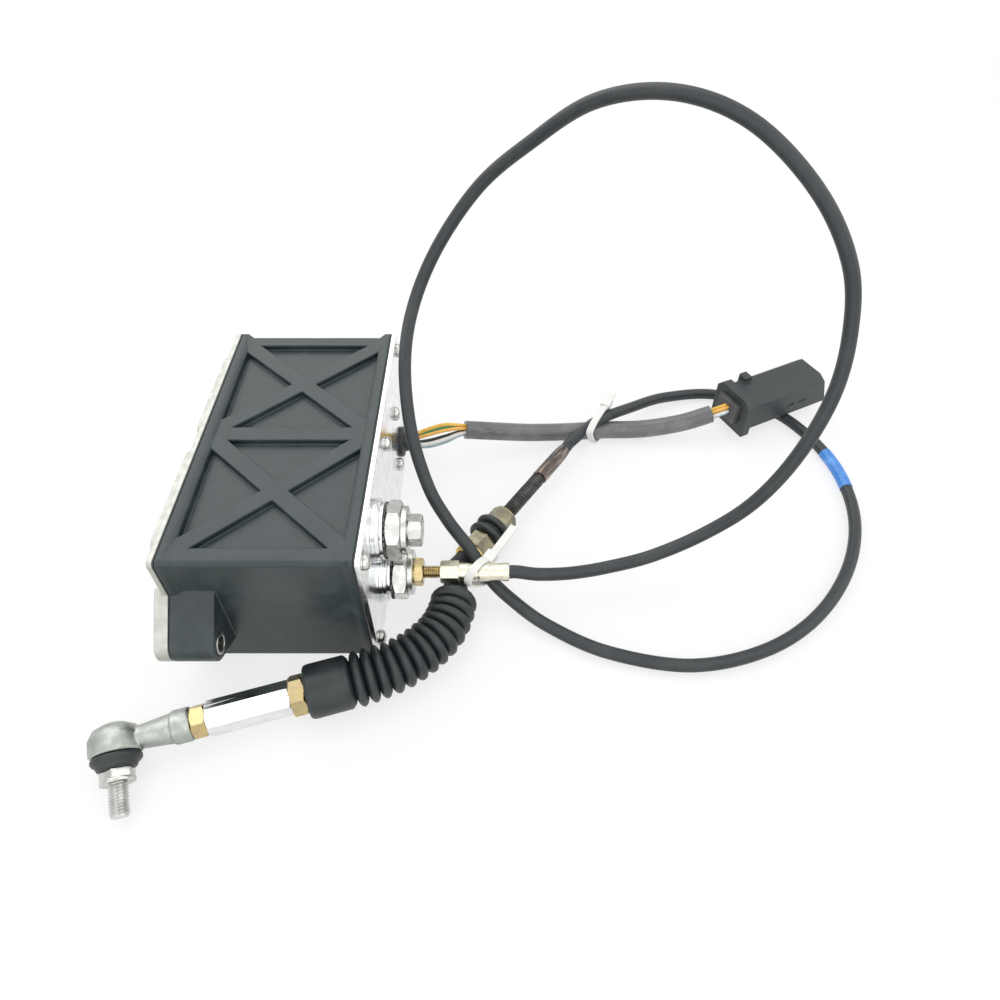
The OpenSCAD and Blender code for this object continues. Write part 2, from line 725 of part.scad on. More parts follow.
module seal_washers() {
    bores = [tube_d, plug_d];
    color([0.78, 0.78, 0.76]) for (i = [0, 1]) at_port(port_zs[i])
        ring_x(seal_x, port_end_x, seal_d, bores[i] + 2 * loose_fit);
}
module plug_bolt() {
    color([0.8, 0.8, 0.78]) at_port(port_zs[1]) {
        rotate([12, 0, 0]) hex_x(port_end_x, port_end_x + plug_h, plug_af);
        rod_x(web_x, port_end_x + eps, plug_d);
    }
}
module jam_nut() {
    color([0.78, 0.65, 0.38]) at_port(port_z) rotate([18, 0, 0])
        nut_x(port_end_x, port_end_x + jam_h, jam_af, tube_d + 2 * run_fit);
}
module cable_end_tube() {
    color([0.72, 0.62, 0.36]) at_port(port_z) ring_x(tube_in_x, ferrule_x, tube_d, tube_bore);
}

// Hexagon and swaged tube in one piece, with two crimps round the tube
module cable_ferrule() {
    r = ferrule_d / 2;
    crimp = 0.35;
    crimp_l = ferrule_l / 6;
    color([0.8, 0.78, 0.6]) at_port(port_z) {
        rotate([10, 0, 0]) hex_x(ferrule_x, swage_x, ferrule_af);
        turned_x([[0, swage_x - eps], [r, swage_x - eps], [r, swage_x + crimp_l],
            [r - crimp, swage_x + 1.3 * crimp_l], [r - crimp, swage_x + 2.2 * crimp_l],
            [r, swage_x + 2.5 * crimp_l],
            [r, swage_x + 3.5 * crimp_l], [r - crimp, swage_x + 3.8 * crimp_l],
            [r - crimp, swage_x + 5 * crimp_l], [r, swage_x + 5.3 * crimp_l], [r, cable_x - 0.4],
            [r - 0.4, cable_x], [0, cable_x]]);
    }
}

// Push-pull cable and its far end

module cable_conduit() {
    color([0.12, 0.13, 0.14]) bar_along(smooth(cable_route, 2), cable_d, 12);
}
module tape_band() {
    color([0.1, 0.4, 0.85]) bar_along(smooth(tape_route, 2), cable_d + 0.4, 12);
}
module end_sleeve() {
    r = end_sleeve_d / 2;
    color([0.26, 0.22, 0.2]) on_hub() turned_x([[0, -end_sleeve_l], [cable_d / 2 + 0.3, -end_sleeve_l],
        [r - 0.2, -0.8 * end_sleeve_l], [r, -0.2 * end_sleeve_l], [r, 0], [0, 0]]);
}
module end_hub() {
    color([0.12, 0.11, 0.1]) on_hub() ring_x(0, collar_at, hub_d, core_d + 2 * loose_fit);
}
module hub_nuts() {
    turns = [12, 40];
    starts = [hub_l, hub_nut_2_at];
    color([0.45, 0.42, 0.28]) for (i = [0, 1]) on_hub() rotate([turns[i], 0, 0])
        nut_x(starts[i], starts[i] + hub_nut_l, hub_nut_af, hub_d + 2 * run_fit);
}
module hub_grommet() {
    r = hub_grommet_d / 2;
    bore = hub_d / 2 + run_fit;
    x0 = hub_grommet_at;
    lip = hub_grommet_l * 0.36;
    x1 = hub_grommet_at + hub_grommet_l;
    color([0.1, 0.1, 0.11]) on_hub() turned_x([[bore, x0], [r - 1, x0], [r, x0 + 1], [r, x0 + lip - 1],
        [r - 1, x0 + lip], [0.68 * r, x0 + lip], [0.68 * r, x1 - lip], [r - 1, x1 - lip], [r, x1 - lip + 1],
        [r, x1 - 1], [r - 1, x1], [bore, x1]]);
}
module hub_collar() {
    color([0.8, 0.62, 0.28]) on_hub()
        nut_x(collar_at, neck_at, collar_d, core_d + 2 * loose_fit);
}

// Rings of the bellows by their place along its route: plain neck, four rings to a fold, then a
// smooth cuff that closes on the link
fold_from = 4.75;
fold_to = 12;
cuff_close = len(bellows_route) - 2;
fold_rings = 4 * folds;
bellows_places = concat([for (u = [0:0.4:fold_from - 0.2]) u],
    [for (k = [0:fold_rings]) fold_from + (fold_to - fold_from) * k / fold_rings],
    [for (u = [fold_to + 0.5:0.5:cuff_close - 0.1]) u], [for (u = [0, 0.25, 0.5, 1]) cuff_close + u]);
function route_at(p, u) = let (i = min(len(p) - 2, floor(u)))
    through(route_point(p, i - 1), p[i], p[i + 1], route_point(p, i + 2), u - i);
function fold_wave(u) = fold_d / 2
    - fold_depth * (0.5 + 0.5 * cos(360 * folds * (u - fold_from) / (fold_to - fold_from)));
cuff_mouth = link_thread_d / 2 + bellows_wall + 0.6;
function bellows_r(u) = u < fold_from - eps ? neck_d / 2 :
    u > cuff_close ? cuff_d / 2 - (cuff_d / 2 - cuff_mouth) * min(1, 2 * (u - cuff_close)) :
    u > fold_to + eps ? cuff_d / 2 : fold_wave(u);
function bellows_bore(u) = u > cuff_close ? link_thread_d / 2 + loose_fit :
    max(core_d / 2 + 1, bellows_r(u) - bellows_wall);
module bellows() {
    color([0.11, 0.12, 0.13]) sleeve_along(
        [for (u = bellows_places) route_at(bellows_route, u)],
        [for (u = bellows_places) bellows_r(u)], [for (u = bellows_places) bellows_bore(u)], 24);
}
module end_core_wire() {
    keep = len(bellows_route) - 3;
    color([0.7, 0.7, 0.7]) bar_along(smooth([for (i = [0:keep - 1]) bellows_route[i]], 3), core_d, 8);
}
module inner_locknut() {
    color([0.76, 0.62, 0.34]) on_link() rotate([14, 0, 0])
        nut_x(cuff_end, link_x, inner_nut_af, link_thread_d + 2 * run_fit);
}
module link_rod() {
    color([0.86, 0.86, 0.86]) on_link() {
        hex_x(link_x, outer_nut_x, link_af);
        rod_x(-cuff_l, link_x + eps, link_thread_d);
        rod_x(outer_nut_x - eps, shank_x + link_grip, link_thread_d);
    }
}
module outer_locknut() {
    color([0.74, 0.6, 0.34]) on_link() rotate([22, 0, 0])
        nut_x(outer_nut_x, shank_x, outer_nut_af, link_thread_d + 2 * run_fit);
}

// Cast rod end: a shank that swells into a closed head, with the ball's seat inside
module rod_end() {
    r = shank_d / 2;
    head_r = head_d / 2;
    seat_r = ball_d / 2 + run_fit;
    bore = link_thread_d / 2 + run_fit;
    bore_x = shank_x + link_grip + loose_fit;
    mouth = ball_d / 2 - 0.8;
    shank_end = ball_x - (seat_r + head_r) / 2;
    color([0.7, 0.71, 0.7]) {
        on_link() turned_x([[bore, shank_x], [r - 0.8, shank_x], [r, shank_x + 0.8], [r, shank_x + 7],
            [r - 0.8, shank_x + 8.5], [r - 2.2, ball_x - head_r], [r - 2.2, shank_end], [0, shank_end],
            [0, bore_x], [bore, bore_x]]);
        on_stud() turned_x(concat([[0, -head_r + 2.4], [0.45 * head_r, -head_r + 2.6],
            [0.82 * head_r, -0.55 * head_r], [head_r, -0.2 * head_r], [head_r, boot_from - 1.2],
            [head_r - 0.8, boot_from], [mouth, boot_from]], arc(seat_r, 180 - asin(mouth / seat_r), 0, 24)));
    }
}
function arc(r, from, to, steps) = [for (k = [0:steps]) let (a = from + (to - from) * k / steps)
    r * [sin(a), -cos(a)]];
module ball_stud() {
    neck_r = stud_d / 2 - 0.8;
    flange_r = stud_af / 2 + 0.9;
    flange_x = boot_to + stud_hex_h;
    thread_r = stud_d / 2;
    tip_x = thread_from + stud_l;
    color([0.78, 0.78, 0.77]) on_stud() {
        turned_x(concat(arc(ball_d / 2, 0, 180 - asin(2 * neck_r / ball_d), 24), [[neck_r, flange_x],
            [flange_r, flange_x], [flange_r, thread_from], [thread_r, thread_from], [thread_r, tip_x],
            [0, tip_x]]));
        hex_x(boot_to, flange_x + eps, stud_af);
    }
}
module stud_boot() {
    r = boot_d / 2;
    hole = stud_d / 2 - 0.8 + loose_fit;
    color([0.1, 0.1, 0.11]) on_stud() turned_x([[hole, boot_to - 1.4], [r - 3.4, boot_to - 1.6],
        [r - 2, boot_from + 2], [r - 2.2, boot_from + loose_fit], [r - 0.4, boot_from + loose_fit],
        [r, boot_from + 1.4],
        [r - 0.8, boot_from + 3.2], [r - 2.6, boot_to - loose_fit], [hole, boot_to - loose_fit]]);
}

// Harness

// The rubber grommet grips the face plate and ends in a short nose
module wire_grommet() {
    lip = outlet_d / 2 + 2;
    groove = outlet_d / 2 - loose_fit;
    bore = wire_ring + wire_d / 2 + 0.6;
    color([0.09, 0.09, 0.1]) translate([0, outlet_y, outlet_z]) turned_x([[bore, plate_x - 2.5],
        [groove, plate_x - 2.5], [lip - 0.6, plate_x - 1.8], [lip - 0.6, plate_x], [groove, plate_x],
        [groove, face_x], [lip, face_x], [lip, face_x + 1.4], [lip - 0.8, face_x + 2.2],
        [groove - 0.9, face_x + 2.4], [bore + 1, face_x + outlet_nose], [bore, face_x + outlet_nose]]);
}

// The wires lie in a ring round a middle line, from the grommet to the sleeve and on to the connector
sleeve_last = len(sleeve_route) - 1;
sleeve_in = unit(sleeve_route[1] - sleeve_route[0]);
sleeve_out = unit(sleeve_route[sleeve_last] - sleeve_route[sleeve_last - 1]);
wire_gap = 0.6;
function wire_route(p, k) = let (all = rings(p, [for (i = p) wire_ring], wire_count))
    [for (i = [0:len(p) - 1]) all[i * wire_count + k]];
module harness_wires() {
    outlet = [face_x + outlet_nose, outlet_y, outlet_z];
    first = concat(
        smooth([outlet, [58, 50.5, 20.6], [68, 54.5, 20.6], sleeve_route[0] - lead * sleeve_in], 3),
        [sleeve_route[0] - wire_gap * sleeve_in]);
    seal = plug_start - plug_seal_l * plug_axis;
    second = [sleeve_route[sleeve_last] + wire_gap * sleeve_out,
        sleeve_route[sleeve_last] + lead / 2 * sleeve_out,
        seal - lead / 2 * plug_axis, seal - wire_gap * plug_axis];
    colours = [[0.85, 0.65, 0.1], [0.9, 0.9, 0.88], [0.1, 0.1, 0.1], [0.35, 0.45, 0.6], [0.25, 0.55, 0.3],
        [0.85, 0.5, 0.1]];
    for (k = [0:wire_count - 1]) color(colours[k]) {
        bar_along(wire_route(first, k), wire_d, 8);
        bar_along(wire_route(second, k), wire_d, 8);
    }
}
module harness_sleeve() {
    color([0.42, 0.43, 0.45]) bar_along(smooth(sleeve_route, 2), sleeve_d, 12);
}

// Connector shell: a flange at the back, a block with chamfered top edges, a latch, and an open
// shroud with a slanted front
plug_flange_l = 6;
plug_cut = 4;
socket_back = plug_len - socket_depth;
module block_x(x0, x1, w, h) {
    translate([x0, -w / 2, -h / 2]) cube([x1 - x0, w, h]);
}
module plug_outline(w, h, cut) {
    polygon([[-w / 2, 0], [w / 2, 0], [w / 2, h - cut], [w / 2 - cut, h], [cut - w / 2, h],
        [-w / 2, h - cut]]);
}
module connector_body() {
    floor_z = -plug_hgt / 2;
    inner = plug_w - 2 * shroud_wall;
    latch = [5, 6, 6];
    latch_at = [2 * plug_flange_l, plug_w / 2 - plug_cut - latch[1] / 2, plug_hgt / 2 - 3];
    slant = 8;
    flange_out = 2.2;
    color([0.13, 0.13, 0.14]) on_plug() difference() {
        union() {
            translate([0, 0, floor_z - flange_out]) across_x(0, plug_flange_l)
                plug_outline(plug_w + 2 * flange_out, plug_hgt + 1.6 * flange_out, plug_cut);
            translate([0, 0, floor_z]) across_x(plug_flange_l, plug_len)
                plug_outline(plug_w, plug_hgt, plug_cut);
            translate(latch_at) cube(latch);
        }
        across_x(socket_back, plug_len + 1) translate([0, floor_z + shroud_wall])
            plug_outline(inner, plug_hgt - 2 * shroud_wall, plug_cut - 0.6 * shroud_wall);
        across_y(-plug_w, plug_w) polygon([[plug_len - slant, plug_hgt / 2], [plug_len, floor_z],
            [plug_len + slant, floor_z], [plug_len + slant, plug_hgt], [plug_len - slant, plug_hgt]]);
        for (side = [-1, 1], x = [0.55, 0.68]) translate([x * plug_len, side * plug_w / 2, 0.3 * floor_z])
            cube([5, 2, 2], center = true);
        translate([plug_flange_l + 1.2, 0, 0]) for (side = [-1, 1]) translate([0, side * plug_w / 2, 0])
            cube([1.2, 1.6, 2 * plug_hgt], center = true);
        block_x(-1, plug_seal_l, plug_w - 8, plug_hgt - 8);
    }
}
module connector_seal() {
    color([0.3, 0.3, 0.31]) on_plug()
        block_x(-plug_seal_l, plug_seal_l, plug_w - 8 - 2 * loose_fit, plug_hgt - 8 - 2 * loose_fit);
}
wedge_t = 4;
module pin_places() {
    for (row = [-1, 1], column = [-1, 0, 1]) translate([0, column * 5.4, row * 3]) children();
}
module connector_wedge() {
    color([0.75, 0.4, 0.12]) on_plug() difference() {
        across_x(socket_back, socket_back + wedge_t) translate([0, shroud_wall + loose_fit - plug_hgt / 2])
            plug_outline(plug_w - 2 * shroud_wall - 2 * loose_fit, plug_hgt - 2 * shroud_wall - 2 * loose_fit,
                plug_cut);
        pin_places() rod_x(socket_back - 1, socket_back + wedge_t + 1, 1.6 + 2 * loose_fit);
    }
}
module connector_pins() {
    color([0.8, 0.78, 0.7]) on_plug() pin_places() rod_x(socket_back, socket_back + 10, 1.6);
}

// A cable tie: a band round two bundled rods, each given by its place and its half width and
// half height inside the band, a head on the band's shoulder and a free tail
module tie_ring(rods, grow) {
    hull() for (c = rods) translate([c[0], c[1]]) scale([c[2] + grow, c[3] + grow]) circle(1, $fn = 32);
}
module cable_tie(at, turn, rods, head, tail_l, tail_lean) {
    color([0.92, 0.92, 0.9]) translate(at) rotate([0, 0, turn]) rotate([90, 0, 0]) difference() {
        union() {
            translate([0, 0, -tie_w / 2]) linear_extrude(tie_w) tie_ring(rods, tie_t);
            translate([head[0], head[1], 0]) rotate([0, 0, tail_lean]) {
                translate([-3, -1.2, -tie_w / 2 - 0.8]) cube([6, 4, tie_w + 1.6]);
                translate([2.5, 0, -tie_w / 2]) cube([tail_l, tie_t, tie_w]);
            }
        }
        translate([0, 0, -tie_w]) linear_extrude(2 * tie_w) tie_ring(rods, 0);
    }
}

// Half the width that a band needs round a rod that it crosses at a given angle
function tie_room(d, angle) = d / 2 / sin(angle) + tie_w / 2 / tan(angle);

// The first tie slants over the ferrule and takes in the cable below it
module ferrule_tie() {
    turn = 54;
    fit = 0.35;
    cable = route_at(cable_route, 24.9);
    over = (port_y - cable[1]) / sin(turn);
    across = tie_room(ferrule_d, turn) + fit;
    cable_r = cable_d / 2 + 1.9;
    cable_tie([cable[0], cable[1], 0], turn, [[0, cable[2], cable_r, cable_r],
        [over, port_z, across, ferrule_d / 2 + fit]], [over + across + 3, port_z + 0.2], 18, 12);
}

// The second tie takes in the harness sleeve and the cable that lies across it
module harness_tie() {
    turn = 62;
    fit = 0.5;
    sleeve = route_at(sleeve_route, 3.9);
    cable = route_at(cable_route, 38.92);
    over = (cable[1] - sleeve[1]) / sin(turn);
    half = tie_room(cable_d, turn - 38) + fit;
    cable_tie([sleeve[0], sleeve[1], 0], turn, [[0, sleeve[2], tie_room(sleeve_d, turn - 5) + fit,
        sleeve_d / 2 + fit], [over, cable[2], half, cable_d / 2 + 1.5 * fit]],
        [over + half - 1, cable[2] + 3], 8, 8);
}

// Gear frame, motor and rack

// Bearing plates on a web that lies against the face plate, with a shelf for the rack
module frame_plate(y0) {
    translate([frame_left, y0, frame_z[0]])
        cube([plate_x - frame_left, frame_t, frame_z[1] - frame_z[0]]);
}
module shaft_line(x) {
    translate([x, 0, shaft_z]) children();
}
module gear_frame() {
    color([0.62, 0.63, 0.64]) difference() {
        union() {
            for (y = [plate_1, plate_2, plate_3]) frame_plate(y);
            translate([web_x, plate_1, frame_z[0]])
                cube([web_t, web_end - plate_1, frame_z[1] - frame_z[0]]);
            translate([rack_left - 8, plate_1, frame_z[0]])
                cube([plate_x - rack_left + 8, plate_2 + frame_t - plate_1,
                    rack_floor - run_fit - frame_z[0]]);
        }
        for (z = port_zs) at_port(z) rod_x(bush_in_x - 1, plate_x + 1, bush_thread_d + 2 * loose_fit);
        translate([0, outlet_y, outlet_z]) rod_x(web_x - 1, plate_x + 1, outlet_d + 8);
        for (at = frame_screw_at) translate([0, at[0], at[1]])
            rod_x(web_x - 1, plate_x + 1, screw_d + 2 * loose_fit);
        shaft_line(0) rod_y(plate_1 - 1, plate_2 + frame_t + 1, shaft_bush_d + 2 * run_fit);
        shaft_line(0) rod_y(plate_3 - 1, motor_y + 1, 4 * motor_shaft_d);
        shaft_line(idler_x) rod_y(plate_2 - 1, motor_y + 1, idler_pin_d + 2 * run_fit);
        for (side = [-1, 1]) shaft_line(side * motor_d / 3)
            rod_y(plate_3 - 1, motor_y + 1, motor_screw_d + 2 * loose_fit);
    }
}
module shaft_bushes() {
    color([0.72, 0.52, 0.3]) for (y = [plate_1, plate_2]) shaft_line(0) difference() {
        rod_y(y, y + frame_t, shaft_bush_d);
        rod_y(y - 1, y + frame_t + 1, shaft_d + 2 * run_fit);
    }
}
module output_shaft() {
    color([0.75, 0.75, 0.76]) shaft_line(0)
        rod_y(plate_1 - sensor_t / 2, stage_1 + gear_w + 1, shaft_d);
}
module rack_pinion() {
    color([0.68, 0.66, 0.6]) shaft_line(0) difference() {
        gear_y(port_y - rack_w / 2, port_y + rack_w / 2, rack_m, rack_pinion_teeth, 0);
        rod_y(port_y - rack_w, port_y + rack_w, shaft_d + 2 * run_fit);
    }
}
module output_gear() {
    color([0.68, 0.66, 0.6]) shaft_line(0) difference() {
        gear_y(stage_1, stage_1 + gear_w, gear_m, wheel_teeth, 0);
        rod_y(stage_1 - 1, stage_1 + gear_w + 1, shaft_d + 2 * run_fit);
    }
}
module idler_gear() {
    color([0.8, 0.78, 0.7]) shaft_line(idler_x) difference() {
        union() {
            gear_y(stage_1, stage_2 + eps, gear_m, pinion_teeth, 180 / pinion_teeth);
            gear_y(stage_2, stage_2 + gear_w, gear_m, wheel_teeth, 0);
        }
        rod_y(stage_1 - 1, stage_2 + gear_w + 1, idler_pin_d + 2 * run_fit);
    }
}
module idler_pin() {
    color([0.75, 0.75, 0.76]) shaft_line(idler_x) rod_y(plate_2, motor_y, idler_pin_d);
}
module motor_pinion() {
    color([0.75, 0.7, 0.5]) shaft_line(0) {
        gear_y(stage_2, stage_2 + gear_w, gear_m, pinion_teeth, 0);
        rod_y(stage_2 + gear_w - eps, motor_y + motor_shaft_in, motor_shaft_d);
    }
}
module motor_can() {
    color([0.55, 0.56, 0.57]) shaft_line(0) difference() {
        rod_y(motor_y, motor_y + motor_l, motor_d);
        rod_y(motor_y - 1, motor_y + motor_shaft_in + 1, motor_shaft_d + 2 * run_fit);
        for (side = [-1, 1]) translate([side * motor_d / 3, 0, 0])
            rod_y(motor_y - 1, motor_y + motor_screw_in + 1, motor_screw_d + 2 * loose_fit);
    }
}
module motor_cap() {
    cap_y = motor_y + motor_l;
    color([0.15, 0.15, 0.16]) shaft_line(0) {
        rod_y(cap_y, cap_y + motor_cap_t, motor_d - 2);
        for (side = [-1, 1]) translate([side * motor_d / 4, cap_y + motor_cap_t + tab[1] / 2 - eps, 0])
            cube(tab, center = true);
    }
}
module motor_screws() {
    color([0.7, 0.7, 0.7]) for (side = [-1, 1]) shaft_line(side * motor_d / 3) {
        rod_y(plate_3 - motor_head_t, plate_3, motor_screw_d + 2.5);
        rod_y(plate_3 - eps, motor_y + motor_screw_in, motor_screw_d);
    }
}

// Rack with straight-sided teeth, a tooth under the shaft at mid stroke, and a block for the wire
module drive_rack() {
    pitch = PI * rack_m;
    half = (pitch / 2 - backlash * rack_m) / 2;
    lean = tan(pressure_angle);
    tip_z = pitch_z + tip_share * rack_m;
    root_z = pitch_z - root_share * rack_m;
    tip_half = half - tip_share * rack_m * lean;
    root_half = half + root_share * rack_m * lean;
    last = floor((-rack_left - root_half) / pitch);
    first_right = floor((rack_right - rack_block - root_half - rack_m) / pitch);
    block_z = port_z + core_d / 2 + loose_fit;
    teeth = [for (k = [-last:first_right]) each [[k * pitch - root_half, root_z],
        [k * pitch - tip_half, tip_z], [k * pitch + tip_half, tip_z], [k * pitch + root_half, root_z]]];
    color([0.66, 0.66, 0.65]) across_y(port_y - rack_w / 2, port_y + rack_w / 2)
        polygon(concat([[rack_right, rack_floor], [rack_left, rack_floor], [rack_left, root_z]], teeth,
            [[rack_right - rack_block, root_z], [rack_right - rack_block, block_z], [rack_right, block_z]]));
}
module drive_core_wire() {
    color([0.72, 0.72, 0.73]) at_port(port_z) rod_x(rack_right, face_x + 8, core_d);
}
module position_sensor() {
    color([0.12, 0.2, 0.34]) shaft_line(0) difference() {
        rod_y(plate_1 - sensor_t, plate_1, sensor_d);
        rod_y(plate_1 - sensor_t / 2 - 1, plate_1 + 1, shaft_d + 2 * run_fit);
    }
}

housing();
cover_gasket();
side_cover();
cover_screws();
plate_gasket();
face_plate();
plate_screws();
frame_screws();
lug_bushings();
port_bushes();
port_washers();
tooth_washers();
port_nuts();
seal_washers();
plug_bolt();
jam_nut();
cable_end_tube();
cable_ferrule();
wire_grommet();
harness_wires();
harness_sleeve();
connector_body();
connector_seal();
connector_wedge();
connector_pins();
cable_conduit();
tape_band();
end_sleeve();
end_hub();
hub_nuts();
hub_grommet();
hub_collar();
bellows();
end_core_wire();
inner_locknut();
link_rod();
outer_locknut();
rod_end();
ball_stud();
stud_boot();
ferrule_tie();
harness_tie();
gear_frame();
motor_can();
motor_cap();
motor_screws();
motor_pinion();
idler_gear();
idler_pin();
output_gear();
output_shaft();
rack_pinion();
shaft_bushes();
drive_rack();
drive_core_wire();
position_sensor();
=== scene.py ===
import json
import math

import bmesh
import bpy
from mathutils import Matrix, Vector


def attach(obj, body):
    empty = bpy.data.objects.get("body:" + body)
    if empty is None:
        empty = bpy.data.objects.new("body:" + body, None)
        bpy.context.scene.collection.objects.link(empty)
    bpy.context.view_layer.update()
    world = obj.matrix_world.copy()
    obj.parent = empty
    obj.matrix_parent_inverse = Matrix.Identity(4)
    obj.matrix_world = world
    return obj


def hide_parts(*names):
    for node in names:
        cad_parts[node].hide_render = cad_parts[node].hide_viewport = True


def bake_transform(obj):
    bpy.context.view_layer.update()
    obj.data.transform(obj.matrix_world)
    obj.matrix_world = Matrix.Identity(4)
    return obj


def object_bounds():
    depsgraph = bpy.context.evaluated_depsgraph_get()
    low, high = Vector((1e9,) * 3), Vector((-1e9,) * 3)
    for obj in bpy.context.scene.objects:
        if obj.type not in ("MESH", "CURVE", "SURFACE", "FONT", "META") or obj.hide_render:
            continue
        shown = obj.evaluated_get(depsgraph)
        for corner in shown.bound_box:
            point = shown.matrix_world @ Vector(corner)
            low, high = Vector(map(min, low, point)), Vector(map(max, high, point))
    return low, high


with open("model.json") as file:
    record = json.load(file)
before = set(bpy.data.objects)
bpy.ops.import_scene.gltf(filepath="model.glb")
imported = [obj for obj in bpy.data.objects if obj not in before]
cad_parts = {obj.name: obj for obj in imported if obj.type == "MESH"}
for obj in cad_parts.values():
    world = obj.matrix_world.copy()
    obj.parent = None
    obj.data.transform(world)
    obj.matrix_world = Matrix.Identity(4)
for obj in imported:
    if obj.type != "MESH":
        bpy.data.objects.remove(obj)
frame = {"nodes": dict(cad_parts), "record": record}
cadLow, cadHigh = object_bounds()
nodes = frame["nodes"]
slotOf = {part["node"]: part["material_slot"] for part in frame["record"]["subparts"]}
bodyOf = {node: body for body, members in frame["record"]["behaviour"]["bodies"].items() for node in members}
print("frame loaded,", len(nodes), "nodes")

# Camera, at the place found from the case's edges
photoCamera = {"place": (0.099, -0.260, 0.309), "tilt": 42.35, "lens": 26.82, "sensor": 36}
cameraData = bpy.data.cameras.new("photoCamera")
cameraData.lens = photoCamera["lens"]
cameraData.sensor_width = photoCamera["sensor"]
cameraData.clip_start = 0.01
camera = bpy.data.objects.new("photoCamera", cameraData)
camera.location = photoCamera["place"]
camera.rotation_euler = (math.radians(photoCamera["tilt"]), 0, 0)
bpy.context.scene.collection.objects.link(camera)
bpy.context.scene.camera = camera
bpy.context.scene.view_settings.view_transform = "Standard"


# Node materials: a Value is an output socket that takes part in sums
class Value:
    def __init__(self, finish, socket):
        self.finish = finish
        self.socket = socket

    def reckon(self, operation, first, second):
        return self.finish.add("ShaderNodeMath", {"operation": operation}, {0: first, 1: second})

    def __add__(self, other):
        return self.reckon("ADD", self, other)

    def __radd__(self, other):
        return self.reckon("ADD", other, self)

    def __sub__(self, other):
        return self.reckon("SUBTRACT", self, other)

    def __rsub__(self, other):
        return self.reckon("SUBTRACT", other, self)

    def __mul__(self, other):
        return self.reckon("MULTIPLY", self, other)

    def __rmul__(self, other):
        return self.reckon("MULTIPLY", other, self)


class Finish:
    def __init__(self, owner):
        self.owner = owner
        owner.use_nodes = True
        self.tree = owner.node_tree
        self.tree.nodes.clear()

    def add(self, kind, settings, inputs, take=0):
        node = self.tree.nodes.new(kind)
        for name, value in settings.items():
            setattr(node, name, value)
        for name, value in inputs.items():
            if isinstance(value, Value):
                self.tree.links.new(value.socket, node.inputs[name])
            else:
                node.inputs[name].default_value = value
        return Value(self, node.outputs[take]) if node.outputs else node

    def place(self, stretch=(1, 1, 1)):
        spot = self.add("ShaderNodeTexCoord", {}, {}, "Object")
        return self.add("ShaderNodeVectorMath", {"operation": "MULTIPLY"},
                        {0: spot, 1: [1000 * side for side in stretch]})

    def noise(self, place, scale, detail):
        return self.add("ShaderNodeTexNoise", {}, {"Vector": place, "Scale": scale, "Detail": detail})

    def ease(self, value, low, high):
        return self.add("ShaderNodeMapRange", {"interpolation_type": "SMOOTHSTEP"},
                        {"Value": value, "From Min": low, "From Max": high})

    def mix(self, factor, first, second):
        return self.add("ShaderNodeMix", {"data_type": "RGBA"}, {
            0: factor, 6: (*first, 1) if isinstance(first, tuple) else first,
            7: (*second, 1) if isinstance(second, tuple) else second}, 2)

    def bump(self, height, distance):
        return self.add("ShaderNodeBump", {}, {"Height": height, "Distance": distance, "Strength": 1})

    def direct(self):
        seen, mirrored, through = (self.add("ShaderNodeLightPath", {}, {}, "Is " + ray + " Ray")
                                   for ray in ("Camera", "Glossy", "Transmission"))
        return seen + mirrored + through

    def close(self, inputs):
        surface = self.add("ShaderNodeBsdfPrincipled", {}, inputs)
        self.add("ShaderNodeOutputMaterial", {}, {"Surface": surface})
        return self.owner


# Plated and bare metals: blotches in the plating, fine scratches and a faint grain
metals = {
    "bright_zinc": {"main": (0.84, 0.85, 0.85), "other": (0.76, 0.77, 0.78), "rough": 0.13, "grain": 0.003},
    "zinc_steel": {"main": (0.64, 0.64, 0.62), "other": (0.50, 0.50, 0.47), "rough": 0.22, "grain": 0.006},
    "dark_steel": {"main": (0.105, 0.102, 0.1), "other": (0.07, 0.066, 0.062), "rough": 0.26, "grain": 0.004},
    "yellow_zinc": {"main": (0.58, 0.46, 0.22), "other": (0.46, 0.38, 0.22), "rough": 0.22, "grain": 0.006},
    "pale_zinc": {"main": (0.76, 0.73, 0.56), "other": (0.66, 0.64, 0.53), "rough": 0.25, "grain": 0.006},
    "olive_zinc": {"main": (0.29, 0.265, 0.175), "other": (0.19, 0.175, 0.13), "rough": 0.26, "grain": 0.008},
    "brass_collar": {"main": (0.83, 0.60, 0.18), "other": (0.74, 0.55, 0.24), "rough": 0.26, "grain": 0.006},
    "cast_rod_end": {"main": (0.43, 0.45, 0.42), "other": (0.35, 0.37, 0.34), "rough": 0.38, "grain": 0.03},
    "cast_aluminium": {"main": (0.55, 0.56, 0.52), "other": (0.51, 0.52, 0.48), "rough": 0.56,
                       "grain": 0.035},
    "spring_steel": {"main": (0.62, 0.62, 0.63), "other": (0.52, 0.52, 0.53), "rough": 0.30, "grain": 0.004},
    "motor_steel": {"main": (0.48, 0.49, 0.50), "other": (0.40, 0.41, 0.42), "rough": 0.36, "grain": 0.006},
    "gear_steel": {"main": (0.60, 0.58, 0.53), "other": (0.50, 0.48, 0.44), "rough": 0.33, "grain": 0.006},
    "gear_brass": {"main": (0.72, 0.55, 0.25), "other": (0.62, 0.46, 0.22), "rough": 0.30, "grain": 0.006},
    "contact_metal": {"main": (0.80, 0.74, 0.55), "other": (0.70, 0.66, 0.52), "rough": 0.22, "grain": 0.002},
}


